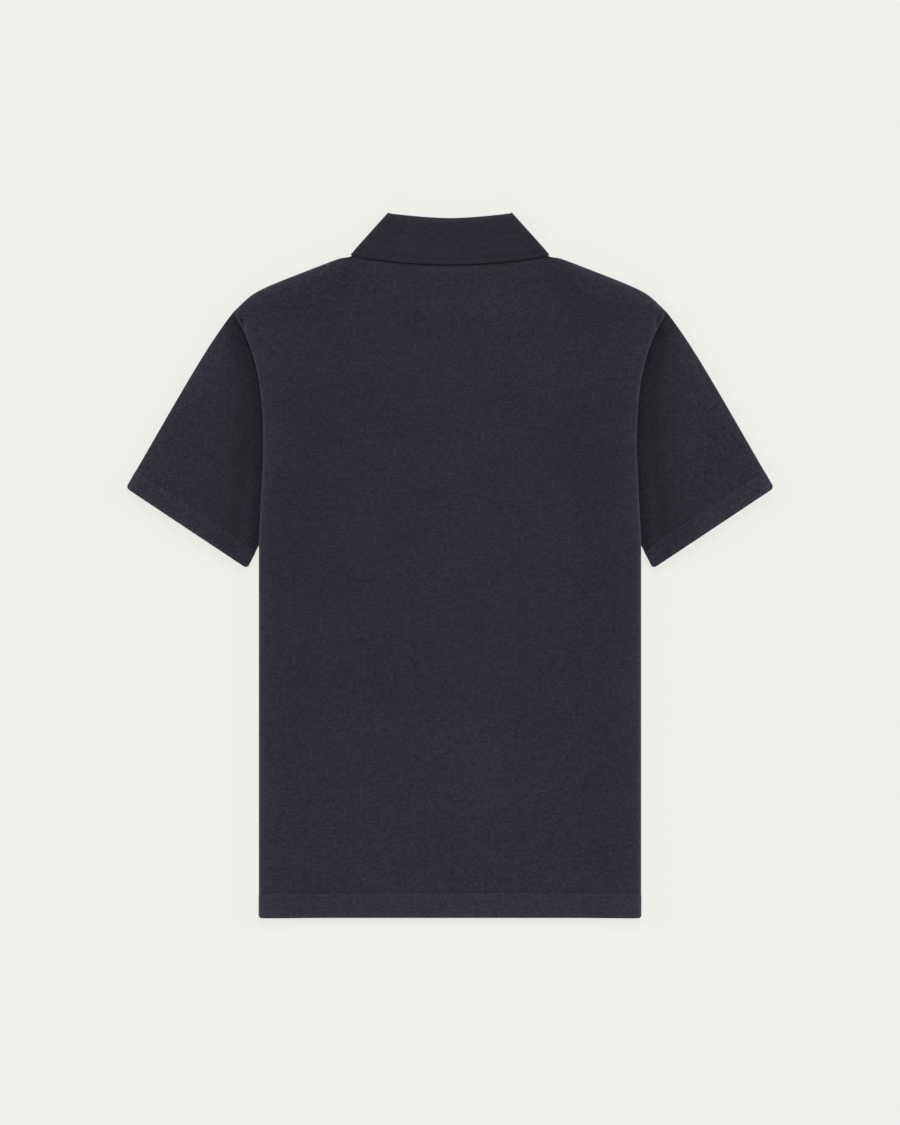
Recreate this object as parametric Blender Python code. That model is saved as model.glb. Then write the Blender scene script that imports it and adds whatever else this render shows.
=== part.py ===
"""A polo shirt in plain jersey, laid flat and face down, so that its back shows.

The solids are the pieces that a maker cuts and sews: back, front, two sleeves, a one-piece
collar, the two strips of the placket, and three buttons.  Each is a wall of cloth of real
thickness, and neighbours stay a small gap apart at their seams.

Axes: +X runs to the right across the laid shirt, +Y from the hem to the collar, +Z up.  The
origin is on the surface that the shirt rests on, under the middle of the shirt's outline.
From that surface upwards lie the buttons and the collar's front leaves, the placket and the
front, the back, and the back of the collar.
"""

from math import cos, pi, radians, sin

import bmesh
import bpy
import numpy as np

MM = 0.001

# Cloth and clearances
CLOTH = 1.2 * MM  # wall of the jersey panels, the sleeves and the collar
HEM_CLOTH = 1.8 * MM  # wall of a turned hem
PLACKET_CLOTH = 1.0 * MM
GAP = 0.3 * MM  # between neighbouring pieces
FOLD_GAP = 0.44 * MM  # between front and back at their rolled sides and shoulders
SEAM_SHIFT = 0.35 * MM  # the sleeve's distance from the armhole, along X

# Outline of the body, right half; the left half is its mirror image
BODY_HALF_WIDTH = 204.5 * MM
HEM_Y = -377.4 * MM
HEM_BAND = 26.0 * MM
UNDERARM_Y = 20.5 * MM
SHOULDER_TIP = (232.5 * MM, 270.0 * MM)
NECK_POINT = (78.0 * MM, 344.0 * MM)
BACK_NECK_Y = 335.5 * MM  # middle of the back neckline
FRONT_NECK_Y = 262.0 * MM  # middle of the front neckline
FRONT_NECK_HANDLES = ((46.0 * MM, FRONT_NECK_Y), (72.0 * MM, 298.0 * MM))
SHOULDER_LINE = (
    NECK_POINT,
    (222.5 * MM, 287.5 * MM),
    (202.0 * MM, 299.0 * MM),
    SHOULDER_TIP,
)
SHOULDER_DIP = 2.3 * MM  # how far the shoulder's edge ducks under the collar's corner
DIP_PLACE = (105.0 * MM, 8.0 * MM)  # its middle and its reach, along X
ARMHOLE = (
    (BODY_HALF_WIDTH, UNDERARM_Y),
    (201.0 * MM, 111.0 * MM),
    (186.6 * MM, 203.3 * MM),
    SHOULDER_TIP,
)

# Outline of the sleeve
CUFF_OUTER = (346.6 * MM, 82.6 * MM)
CUFF_INNER = (217.3 * MM, -3.5 * MM)
CUFF_BAND = 23.5 * MM
SLEEVE_EDGE = (
    SHOULDER_TIP,
    (260.0 * MM, 234.0 * MM),
    (277.0 * MM, 203.5 * MM),
    CUFF_OUTER,
)

# Placket and buttons
PLACKET_HALF_WIDTH = 16.0 * MM
PLACKET_ROW = 0.39  # place of its lower end between the underarm and the front neckline
BUTTON_RADIUS = 5.6 * MM
BUTTON_THICKNESS = 2.0 * MM
BUTTON_RIM = 1.3 * MM
BUTTON_DISH = 0.5 * MM
BUTTON_HOLE_RADIUS = 0.8 * MM
BUTTON_HOLE_OFFSET = 1.4 * MM
BUTTON_SIDES = 18
BUTTON_PLACES = {"button_1": 243.0 * MM, "button_2": 190.0 * MM, "button_3": 137.0 * MM}

# Outline of the collar, right half
FOLD_CORNER = (67.0 * MM, 377.4 * MM)
FOLD_MIDDLE_Y = 371.2 * MM
FOLD_POWER = 1.6  # the fold's y rises from its middle as this power of x
EDGE_CORNER = (107.2 * MM, 333.0 * MM)
EDGE_MIDDLE_Y = 321.3 * MM
LINE_POWER = 2.0  # the same power of the neck seam and of the free edge
COLLAR_POINT = (50.0 * MM, 233.0 * MM)
FRONT_FOLD_Y = 288.0 * MM
FRONT_FOLD_HANDLES = ((62.0 * MM, 338.0 * MM), (34.0 * MM, 292.0 * MM))
COLLAR_END_X = 2.5 * MM  # the two ends of the collar meet at the middle of the front
COLLAR_OUTWARDS = (0.82, 0.572)  # plan direction in which the folded side of the collar faces
FOLD_RADIUS = 0.5 * (CLOTH + GAP)  # of the wall's middle, where the stand turns into the fall
STAND_RADIUS = 0.5 * (CLOTH + GAP)  # of the wall's middle, round the side of the neck
FALL_RADIUS = STAND_RADIUS + 2.0 * FOLD_RADIUS

# Heights of the middle of each wall above the surface
LEAF_LIFT = CLOTH + GAP  # how far the collar's leaves lift the front
BUTTON_LIFT = BUTTON_THICKNESS + GAP  # how far the buttons lift the placket
SEAM_HEIGHT = 2.85 * MM  # side seams, shoulder seams and folds of the sleeves
FLAT_BACK = 2.3 * MM  # the back where it lies straight on the front
COLLAR_BACK = LEAF_LIFT + CLOTH + GAP + 0.5 * CLOTH  # the back under the collar
LEAF_BACK_RISE = 1.8 * MM  # how far the leaves lift the back
PLACKET_BACK_RISE = 3.3 * MM  # how far the placket and the buttons lift the back
SIDE_BULGE = 3.3 * MM  # how far the springy fold at a side lifts the back
ARMHOLE_BULGE = 4.6 * MM  # how far the back rises beside an armhole
ARMHOLE_HEIGHT = 4.0 * MM  # the back's edge along the armhole
SLEEVE_START = 3.0 * MM  # the sleeve's edge along the armhole
SLEEVE_HEIGHT = 5.2 * MM
SLEEVE_LOW = 3.3 * MM
SETTLED = 0.75  # how much of that fall the springy outer fold holds back
CUFF_TOP = 1.5 * HEM_CLOTH + 0.4 * MM

# How far each soft form reaches, in plan
ROLL = 7.0 * MM  # depth of the round at a side
SHOULDER_ROLL = 5.0 * MM
BULGE_REACH = 60.0 * MM
BULGE_CHANGE = (-30.0 * MM, 60.0 * MM)  # Y between which the side's bulge grows to the armhole's
LEAF_MARGIN = 30.0 * MM
LEAF_REACH = 35.0 * MM
PLACKET_REACH = 60.0 * MM
FRONT_LIFT_ENDS = (125.0 * MM, 254.0 * MM, 9.0 * MM)  # lower end, upper end, upper fade
BACK_LIFT_ENDS = (95.0 * MM, 265.0 * MM, 50.0 * MM)
COLLAR_BED = (108.0 * MM, 293.0 * MM, 25.0 * MM)  # half width, lower end and fade of its bed
VALLEY_REACH = (26.0 * MM, 70.0 * MM)  # how far the sleeve rises, at shoulder and underarm
SLEEVE_REACH = 110.0 * MM
FOLD_REACH = 45.0 * MM
CORNER_SHARE = 0.03  # of the armhole, over which the sleeve draws clear of the side seam

# Places of the grid lines
ROLL_ANGLES = (0.0, 30.0, 60.0, 90.0)
INNER_COLUMNS = tuple(x * MM for x in (0.0, 16.0, 40.0, 60.0, 72.0, 78.0, 104.0, 118.0, 150.0))
EDGE_COLUMNS = (24.0 * MM, 12.0 * MM)
LOWER_ROWS = tuple(y * MM for y in (-325.0, -270.0, -210.0, -150.0, -90.0, -35.0))
HEM_STEP = 4.0 * MM
ARMHOLE_ROWS = (0.0, 0.13, 0.26, PLACKET_ROW, 0.52, 0.65, 0.78, 0.9, 1.0)
SLEEVE_STATIONS = (0.0, 0.03, 0.08, 0.16, 0.32, 0.52, 0.74, 0.95)
SIDE_TURNS = (45.0, 90.0, 135.0)
FOLD_TURNS = (60.0, 120.0)
STAND_SHARES = (0.0, 0.5, 1.0)
FALL_SHARES = (0.0, 0.33, 0.66, 1.0)
CURVE_SAMPLES = 400

JERSEY = {"name": "jersey", "colour": (0.028, 0.028, 0.040), "roughness": 0.9}
RIB = {"name": "collar_jersey", "colour": (0.025, 0.026, 0.037), "roughness": 0.88}
BUTTON = {"name": "button", "colour": (0.030, 0.031, 0.040), "roughness": 0.35}


def clear_scene():
    """Remove every object of the start-up scene."""
    for thing in list(bpy.data.objects):
        bpy.data.objects.remove(thing, do_unlink=True)


def material(finish):
    """The Principled material of a finish, made the first time that it is asked for."""
    made = bpy.data.materials.get(finish["name"])
    if made is None:
        made = bpy.data.materials.new(finish["name"])
        made.use_nodes = True
        shader = made.node_tree.nodes["Principled BSDF"]
        shader.inputs["Base Color"].default_value = (*finish["colour"], 1.0)
        shader.inputs["Roughness"].default_value = finish["roughness"]
        shader.inputs["Metallic"].default_value = 0.0
    return made


def smooth_step(value):
    """0 below 0, 1 above 1, and a soft S between."""
    value = np.clip(value, 0.0, 1.0)
    return value * value * (3.0 - 2.0 * value)


def bezier(controls, t):
    """Points of the cubic Bezier curve with four control points, at the parameters t."""
    t = np.asarray(t, float)[..., None]
    first, second, third, last = np.asarray(controls, float)
    start = (1 - t) ** 3 * first + 3 * (1 - t) ** 2 * t * second
    return start + 3 * (1 - t) * t**2 * third + t**3 * last


def read_curve(controls, values, axis):
    """The other coordinate of a plane curve where its coordinate `axis` has these values."""
    samples = bezier(controls, np.linspace(0.0, 1.0, CURVE_SAMPLES))
    order = np.argsort(samples[:, axis])
    return np.interp(values, samples[order, axis], samples[order, 1 - axis])


def read_along(controls, shares):
    """Points of a plane curve at these shares of its length."""
    samples = bezier(controls, np.linspace(0.0, 1.0, CURVE_SAMPLES))
    steps = np.hypot(*np.diff(samples, axis=0).T)
    length = np.concatenate([[0.0], np.cumsum(steps)])
    places = shares * length[-1]
    return np.stack([np.interp(places, length, samples[:, axis]) for axis in (0, 1)], axis=-1)


def share_between(value, start, end):
    """0 up to the start, 1 from the end on, and a soft S between."""
    return smooth_step((value - start) / (end - start))


def roll_inset(depth):
    """Distances from the rim of the wall's middle where a quarter round of this depth has its
    grid lines, from the rim inwards, and the share of its height that it has there."""
    angles = np.radians(ROLL_ANGLES)
    return depth * (1.0 - np.cos(angles)), np.sin(angles)


# ---------------------------------------------------------------------------------------
# Closed walls from grids of points
# ---------------------------------------------------------------------------------------


def grid_normals(points, wrap=False):
    """Unit normals of a grid of points, rows by columns, from central differences."""
    if wrap:
        across = np.roll(points, -1, axis=1) - np.roll(points, 1, axis=1)
    else:
        across = np.gradient(points, axis=1)
    along = np.gradient(points, axis=0)
    normals = np.cross(across, along)
    return normals / np.linalg.norm(normals, axis=2, keepdims=True)


def levelled(normals, where):
    """Turn the normals at these places level, for the rim of a round edge."""
    normals[where, 2] = 0.0
    normals[where] /= np.linalg.norm(normals[where], axis=-1, keepdims=True)


def grid_triangles(rows, columns, kept, wrap):
    """Two triangles for each kept cell of a grid, as vertex numbers.  The diagonals of the
    left and right halves mirror each other."""
    row, column = np.nonzero(kept)
    beside = (column + 1) % columns if wrap else column + 1
    corners = np.stack(
        [
            row * columns + column,
            row * columns + beside,
            (row + 1) * columns + beside,
            (row + 1) * columns + column,
        ],
        axis=1,
    )
    left = column < (columns - 1) / 2
    first = np.where(left[:, None], corners[:, [0, 1, 2]], corners[:, [0, 1, 3]])
    second = np.where(left[:, None], corners[:, [0, 2, 3]], corners[:, [1, 2, 3]])
    return np.concatenate([first, second])


def wall_mesh(name, outer, inner, kept=None, wrap=False):
    """A closed mesh between two grids of points that match: the outer face, the inner face
    turned over, and a strip along every free edge.  `kept` is false where a cell is left out,
    and with `wrap` the last column joins the first."""
    rows, columns = outer.shape[:2]
    if kept is None:
        kept = np.ones((rows - 1, columns if wrap else columns - 1), bool)
    top = grid_triangles(rows, columns, kept, wrap)
    sides = np.concatenate([top[:, [0, 1]], top[:, [1, 2]], top[:, [2, 0]]])
    codes = np.sort(sides, axis=1) @ np.array([rows * columns, 1])
    _, index, count = np.unique(codes, return_inverse=True, return_counts=True)
    start, end = sides[count[index.reshape(-1)] == 1].T
    under = rows * columns
    rim = np.concatenate(
        [
            np.stack([start, start + under, end], axis=1),
            np.stack([end, start + under, end + under], axis=1),
        ]
    )
    triangles = np.concatenate([top, top[:, ::-1] + under, rim])
    points = np.concatenate([outer.reshape(-1, 3), inner.reshape(-1, 3)])
    used, triangles = np.unique(triangles, return_inverse=True)
    mesh = bpy.data.meshes.new(name)
    mesh.from_pydata(points[used].tolist(), [], triangles.reshape(-1, 3).tolist())
    return mesh


def add_object(name, mesh, finish):
    """Put a mesh into the scene as the named piece, with its faces turned outwards."""
    shape = bmesh.new()
    shape.from_mesh(mesh)
    bmesh.ops.recalc_face_normals(shape, faces=shape.faces)
    shape.to_mesh(mesh)
    shape.free()
    mesh.shade_smooth()
    mesh.set_sharp_from_angle(angle=radians(35.0))
    mesh.materials.append(material(finish))
    piece = bpy.data.objects.new(name, mesh)
    bpy.context.scene.collection.objects.link(piece)
    return piece


def add_wall(name, middle, normals, thickness, finish, kept=None, wrap=False):
    """Add the piece whose wall has this middle surface and thickness."""
    half = 0.5 * np.broadcast_to(thickness, middle.shape[:2])[..., None]
    outer, inner = middle + half * normals, middle - half * normals
    return add_object(name, wall_mesh(name, outer, inner, kept, wrap), finish)


# ---------------------------------------------------------------------------------------
# Heights at which the layers lie
# ---------------------------------------------------------------------------------------


def beyond_line(x, y, start, end):
    """How far (|x|, y) lies to the right of the line from start to end."""
    along = np.subtract(end, start) / np.hypot(*np.subtract(end, start))
    return (np.abs(x) - start[0]) * along[1] - (y - start[1]) * along[0]


def leaf_rise(x, y):
    """1 above the collar's front leaves and the neck, fading to 0 past a margin."""
    beyond = np.maximum(beyond_line(x, y, COLLAR_POINT, EDGE_CORNER), COLLAR_POINT[1] - y)
    return smooth_step(1.0 - (beyond - LEAF_MARGIN) / LEAF_REACH)


def placket_rise(x, y, ends):
    """1 above the placket, fading to 0 round it; `ends` gives the lower and upper ends of the
    level stretch and how far its upper fade reaches."""
    low, high, fade = ends
    beside = np.maximum(np.abs(x) - PLACKET_HALF_WIDTH, low - y) / PLACKET_REACH
    above = (y - high) / fade
    return smooth_step(1.0 - np.maximum(beside, above))


def front_lift(x, y):
    """Height of the underside of the front."""
    over_placket = BUTTON_LIFT * placket_rise(x, y, FRONT_LIFT_ENDS)
    return np.maximum(LEAF_LIFT * leaf_rise(x, y), over_placket)


def back_height(x, y, inside):
    """Height of the middle of the back, where `inside` is the distance to the nearest fold."""
    edge = SIDE_BULGE + (ARMHOLE_BULGE - SIDE_BULGE) * share_between(y, *BULGE_CHANGE)
    bulge = edge * smooth_step(1.0 - (inside - ROLL) / BULGE_REACH)
    over_leaves = LEAF_BACK_RISE * leaf_rise(x, y)
    over_placket = PLACKET_BACK_RISE * placket_rise(x, y, BACK_LIFT_ENDS)
    free = FLAT_BACK + np.maximum(np.maximum(over_leaves, over_placket), bulge)
    half_width, low, fade = COLLAR_BED
    bed = smooth_step(1.0 - np.maximum(np.abs(x) - half_width, low - y) / fade)
    return free + (COLLAR_BACK - free) * bed


# ---------------------------------------------------------------------------------------
# Body panels
# ---------------------------------------------------------------------------------------


def in_armhole_plane(normals, y, side):
    """Normals at these places along an armhole, turned so that the wall's end stands square
    to the seam.  side is 1 on the right and -1 on the left."""
    low, high = np.maximum(y - MM, UNDERARM_Y), np.minimum(y + MM, SHOULDER_TIP[1])
    run = read_curve(ARMHOLE, high, axis=1) - read_curve(ARMHOLE, low, axis=1)
    away = np.stack([side * (high - low), -run], axis=1)
    away /= np.linalg.norm(away, axis=1, keepdims=True)
    turned = normals.copy()
    turned[:, :2] -= np.sum(normals[:, :2] * away, axis=1, keepdims=True) * away
    return turned / np.linalg.norm(turned, axis=1, keepdims=True)


def back_neckline(x):
    """Y of the back neckline: a shallow parabola between the neck points."""
    rise = NECK_POINT[1] - BACK_NECK_Y
    return BACK_NECK_Y + rise * (x / NECK_POINT[0]) ** 2


def front_neckline(x):
    """Y of the front neckline: level across the placket, then a round up to the neck point."""
    curve = ((PLACKET_HALF_WIDTH, FRONT_NECK_Y), *FRONT_NECK_HANDLES, NECK_POINT)
    return read_curve(curve, np.maximum(np.abs(x), PLACKET_HALF_WIDTH), axis=0)


def armhole_rows():
    """Y of the grid rows on the armhole, from the underarm to the rim at the shoulder tip."""
    rim = SHOULDER_TIP[1] - 0.5 * CLOTH
    inset, _ = roll_inset(SHOULDER_ROLL)
    rising = UNDERARM_Y + np.array(ARMHOLE_ROWS) * (rim - inset[-1] - UNDERARM_Y)
    return np.concatenate([rising, rim - inset[-2::-1]])


def half_columns():
    """Distances of the columns from the middle at the straight body, and for each the share
    of the edge's height that it has."""
    inset, share = roll_inset(ROLL - 0.5 * CLOTH)
    edge = BODY_HALF_WIDTH - 0.5 * CLOTH
    rolled = edge - inset[::-1]
    places = [*INNER_COLUMNS, *(edge - np.array(EDGE_COLUMNS)), *rolled]
    flat = np.ones(len(INNER_COLUMNS) + len(EDGE_COLUMNS))
    return np.array(places), np.concatenate([flat, share[::-1]])


def body_grid(neckline):
    """The plan of a body panel as a grid.

    Rows run from the hem to the top and columns from left to right.  Below the underarm the
    panel is straight.  Above it each row is as wide as the armhole is apart there, with the
    columns outside the neck spread by a square law, and each column runs up to the neckline
    or the shoulder line.  Returns the grids of x and y, and a dictionary of what the heights
    need: each column's and row's share of the edge height, which columns end flat at the top,
    by the neck, and which rows are on the armhole or in the hem.
    """
    half, share = half_columns()
    arm_y = armhole_rows()
    hem_rows = np.array([HEM_Y, HEM_Y + 0.5 * HEM_BAND, HEM_Y + HEM_BAND])
    low_y = np.concatenate([hem_rows, [HEM_Y + HEM_BAND + HEM_STEP], LOWER_ROWS])
    low_count, row_count = len(low_y), len(low_y) + len(arm_y)
    widths = np.full(row_count, half[-1])
    widths[low_count + 1 :] = read_curve(ARMHOLE, arm_y[1:], axis=1)
    spread = np.clip((half - NECK_POINT[0]) / (half[-1] - NECK_POINT[0]), 0.0, 1.0) ** 2
    x = half + (widths[:, None] - half[-1]) * spread
    in_neck = half <= NECK_POINT[0] + GAP
    flat_top = half <= COLLAR_BED[0]
    shoulder = read_curve(SHOULDER_LINE, x[-1], axis=0)
    shoulder -= SHOULDER_DIP * np.exp(-np.square((half - DIP_PLACE[0]) / DIP_PLACE[1]))
    shoulder[-1] = SHOULDER_TIP[1]
    top = np.where(in_neck, neckline(half), shoulder - np.where(flat_top, 0.0, 0.5 * CLOTH))
    inset, top_share = roll_inset(SHOULDER_ROLL)
    rising = UNDERARM_Y + np.outer(ARMHOLE_ROWS, top - inset[-1] - UNDERARM_Y)
    rolled = top - inset[-2::-1, None]
    y = np.concatenate([np.repeat(low_y[:, None], len(half), axis=1), rising, rolled])
    row_share = np.ones(row_count)
    row_share[-len(inset) :] = top_share[::-1]
    facts = {
        "column_share": np.concatenate([share[:0:-1], share]),
        "row_share": row_share,
        "flat_top": np.concatenate([flat_top[:0:-1], flat_top]),
        "on_armhole": np.arange(row_count) > low_count,
        "hem": np.arange(row_count) < len(hem_rows),
    }
    x = np.concatenate([-x[:, :0:-1], x], axis=1)
    y = np.concatenate([y[:, :0:-1], y], axis=1)
    return x, y, facts


def panel_middle(x, y, facts, free, seam, armhole):
    """Middle surface of a body panel: the free height, brought down to the seam height round
    the sides and shoulders by a quarter ellipse, and to the armhole's height at the armhole."""
    rim = np.where(facts["on_armhole"][:, None], armhole, seam)
    z = rim + (free - rim) * facts["column_share"]
    rolled = np.where(facts["flat_top"], 1.0, facts["row_share"][:, None])
    z = seam + (z - seam) * rolled
    return np.stack([x, y, z], axis=2)


def panel_normals(middle, facts):
    """Normals of a body panel: level along the sides and shoulders, upright by the neck, and
    in the plane of the seam along the armhole."""
    normals = grid_normals(middle)
    rows, columns = middle.shape[:2]
    edge = np.zeros((rows, columns), bool)
    edge[:, [0, -1]] = True
    shoulder = np.zeros((rows, columns), bool)
    shoulder[-1] = ~facts["flat_top"]
    normals[-1, [0, -1]] = normals[-1, [1, -2]]
    levelled(normals, (edge & ~facts["on_armhole"][:, None]) | shoulder)
    normals[-1, facts["flat_top"]] = (0.0, 0.0, 1.0)
    seam = facts["on_armhole"]
    for column, side in ((0, -1.0), (-1, 1.0)):
        turned = in_armhole_plane(normals[seam, column], middle[seam, column, 1], side)
        normals[seam, column] = turned
    return normals


def distance_inside(x, y, facts):
    """Distance from the nearer side of the same row, and from the shoulder line."""
    widths = np.abs(x[:, -1:])
    below_shoulder = np.where(facts["flat_top"], BULGE_REACH + ROLL, y[-1] - y)
    return np.minimum(widths - np.abs(x), below_shoulder)


def add_back():
    """The back: one piece from hem to neck, round at its sides and shoulders."""
    x, y, facts = body_grid(back_neckline)
    thickness = np.where(facts["hem"], HEM_CLOTH, CLOTH)[:, None]
    free = back_height(x, y, distance_inside(x, y, facts))
    free = free + np.where(facts["hem"], 1.5 * (HEM_CLOTH - CLOTH), 0.0)[:, None]
    seam = SEAM_HEIGHT + 0.5 * FOLD_GAP
    middle = panel_middle(x, y, facts, free, seam, ARMHOLE_HEIGHT)
    return add_wall("back", middle, panel_normals(middle, facts), thickness, JERSEY)


def add_front():
    """The front: it lies on the surface, turns up at its sides and shoulders, and has a slot
    for the placket."""
    x, y, facts = body_grid(front_neckline)
    thickness = np.where(facts["hem"], HEM_CLOTH, CLOTH)[:, None]
    free = front_lift(x, y) + 0.5 * thickness
    seam = SEAM_HEIGHT - 0.5 * FOLD_GAP
    middle = panel_middle(x, y, facts, free, seam, free)
    normals = panel_normals(middle, facts)
    rows, columns = x.shape
    kept = np.ones((rows - 1, columns - 1), bool)
    across = 0.5 * (x[0, 1:] + x[0, :-1])
    kept[slot_row(rows) :, np.abs(across) < PLACKET_HALF_WIDTH] = False
    return add_wall("front", middle, normals, thickness, JERSEY, kept)


def slot_row(row_count):
    """Number of the grid row at the lower end of the placket's slot."""
    return row_count - len(armhole_rows()) + ARMHOLE_ROWS.index(PLACKET_ROW)


# ---------------------------------------------------------------------------------------
# Sleeves
# ---------------------------------------------------------------------------------------


def sleeve_ring():
    """Where the grid lines lie round the sleeve, from the outer fold over the upper layer to
    the underarm and back below.

    Returns each line's share of the way from the fold (0) to the underarm (1), its share of
    the height, and +1 on the upper or -1 on the lower layer.
    """
    arm_y = armhole_rows()[::-1]
    inset, share = roll_inset(SHOULDER_ROLL)
    length = arm_y[0] - UNDERARM_Y - 0.5 * CLOTH
    way = (arm_y[0] - arm_y[:-1]) / length
    height = np.ones(len(way))
    height[: len(inset)] = share
    way = np.concatenate([way, 1.0 - inset[::-1] / length])
    height = np.concatenate([height, share[::-1]])
    ring_way = np.concatenate([way, way[-2:0:-1]])
    ring_height = np.concatenate([height, height[-2:0:-1]])
    layer = np.concatenate([np.ones(len(way)), -np.ones(len(way) - 2)])
    return ring_way, ring_height, layer


def sleeve_plan(way):
    """Plan of the sleeve, stations by ring lines.

    Each ring line runs straight from its point on the armhole to its point on the cuff, and
    lines near the outer fold bow with the sleeve's outer edge.  By the side seam the sleeve
    draws clear of the body by half a wall.  Stations are shares of the stretch down to the
    cuff's band, and then the band.  Returns the points, their distance from the armhole, and
    which stations are in the band.
    """
    rim_y = SHOULDER_TIP[1] - 0.5 * CLOTH
    arm_y = rim_y - way * (rim_y - UNDERARM_Y - 0.5 * CLOTH)
    clear = SEAM_SHIFT + 0.5 * CLOTH * smooth_step(1.0 - (1.0 - way) / CORNER_SHARE)
    arm = np.stack([read_curve(ARMHOLE, arm_y, axis=1) + clear, arm_y], axis=1)
    outer, inner = np.array(CUFF_OUTER), np.array(CUFF_INNER)
    across = (inner - outer) / np.hypot(*(inner - outer))
    outer, inner = outer + 0.5 * CLOTH * across, inner - 0.5 * CLOTH * across
    cuff = outer + way[:, None] * (inner - outer)
    length = np.linalg.norm(cuff - arm, axis=1)
    band = 1.0 - CUFF_BAND / length
    above = np.outer(SLEEVE_STATIONS, band)
    u = np.concatenate([above, band[None], 0.5 * (1.0 + band)[None], np.ones((1, len(way)))])
    straight = np.array(SHOULDER_TIP) + u[..., None] * np.subtract(CUFF_OUTER, SHOULDER_TIP)
    bow = read_along(SLEEVE_EDGE, u) - straight
    points = arm + u[..., None] * (cuff - arm) + (1.0 - way[:, None]) ** 2 * bow
    return points, u * length, np.arange(len(u)) >= len(SLEEVE_STATIONS)


def sleeve_middle(way, share, layer):
    """Middle surface of the sleeve's tube, and its thickness at each station."""
    plan, from_armhole, band = sleeve_plan(way)
    thickness = np.where(band, HEM_CLOTH, CLOTH)[:, None]
    width = np.hypot(*np.subtract(CUFF_INNER, CUFF_OUTER))
    springy = smooth_step(1.0 - width * way / FOLD_REACH)
    down = (SHOULDER_TIP[1] - plan[..., 1]) / (SHOULDER_TIP[1] - UNDERARM_Y)
    valley = np.interp(down, (0.0, 1.0), VALLEY_REACH)
    reached = smooth_step((from_armhole - valley) / SLEEVE_REACH)
    settle = reached * (1.0 - SETTLED * springy)
    upper = SLEEVE_HEIGHT + (SLEEVE_LOW - SLEEVE_HEIGHT) * settle
    rise = 1.0 - np.clip(1.0 - from_armhole / valley, 0.0, 1.0) ** 2
    upper = SLEEVE_START + (upper - SLEEVE_START) * rise
    upper = np.where(band[:, None], np.maximum(upper, CUFF_TOP), upper)
    free = np.where(layer > 0, upper, 0.5 * thickness)
    z = SEAM_HEIGHT + (free - SEAM_HEIGHT) * share
    return np.concatenate([plan, z[..., None]], axis=2), thickness


def add_sleeve(name, side):
    """A sleeve: a flat tube from the armhole to the cuff.  side is 1 right, -1 left."""
    way, share, layer = sleeve_ring()
    middle, thickness = sleeve_middle(way, share, layer)
    normals = grid_normals(middle, wrap=True)
    normals *= np.sign(normals[0, len(way) // 4, 2])
    normals[0] = in_armhole_plane(normals[0], middle[0, :, 1], 1.0)
    mirror = np.array([side, 1.0, 1.0])
    return add_wall(name, middle * mirror, normals * mirror, thickness, JERSEY, wrap=True)


# ---------------------------------------------------------------------------------------
# Collar
# ---------------------------------------------------------------------------------------


def collar_lines():
    """Plan of the collar's neck seam, fold and free edge, for the right half.

    Each is a row of points from the middle of the back to the side, then over the turn at the
    side, and on to the end at the front.  Returns the three rows and the angle turned at each
    point, 0 on the back and pi on the front.
    """
    columns = np.array([c for c in INNER_COLUMNS if c <= NECK_POINT[0] + GAP])
    outwards = np.array(COLLAR_OUTWARDS)
    inset = (FALL_RADIUS + 0.5 * CLOTH) * outwards
    side_seam = np.array(NECK_POINT) + (-STAND_RADIUS, 2.0 * GAP)
    side_fold = np.array(FOLD_CORNER) - inset - (0.0, FOLD_RADIUS)
    side_edge = np.array(EDGE_CORNER) - inset
    share = columns / columns[-1]

    def back_line(side, middle_y, power):
        x = share * side[0]
        return np.stack([x, middle_y + (side[1] - middle_y) * share**power], axis=1)

    seam_back = back_line(side_seam, BACK_NECK_Y + SEAM_SHIFT, LINE_POWER)
    fold_back = back_line(side_fold, FOLD_MIDDLE_Y - FOLD_RADIUS - 0.5 * CLOTH, FOLD_POWER)
    edge_back = back_line(side_edge, EDGE_MIDDLE_Y, LINE_POWER)

    front_x = np.maximum(columns[-2::-1], COLLAR_END_X)
    seam_front = np.stack([front_x - SEAM_SHIFT, front_neckline(front_x) + SEAM_SHIFT], axis=1)
    seam_front[-1, 0] = COLLAR_END_X
    steps = np.hypot(*np.diff(np.vstack([side_seam, seam_front]), axis=0).T)
    way = np.concatenate([[0.0], np.cumsum(steps)]) / steps.sum()
    fold_end = np.array([COLLAR_END_X, FRONT_FOLD_Y])
    fold_curve = (side_fold, *FRONT_FOLD_HANDLES, fold_end)
    fold_front = bezier(fold_curve, way)
    edge_front = side_edge + way[:, None] * (np.array(COLLAR_POINT) - side_edge)
    seam_front = np.vstack([side_seam, seam_front])

    rows, turns = [], len(SIDE_TURNS)
    for back, front in ((seam_back, seam_front), (fold_back, fold_front), (edge_back, edge_front)):
        rows.append(np.vstack([back, np.repeat(back[-1:], turns, axis=0), front]))
    angle = np.concatenate([np.zeros(len(columns)), np.radians(SIDE_TURNS), np.full(len(way), pi)])
    return rows[0], rows[1], rows[2], angle


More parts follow.
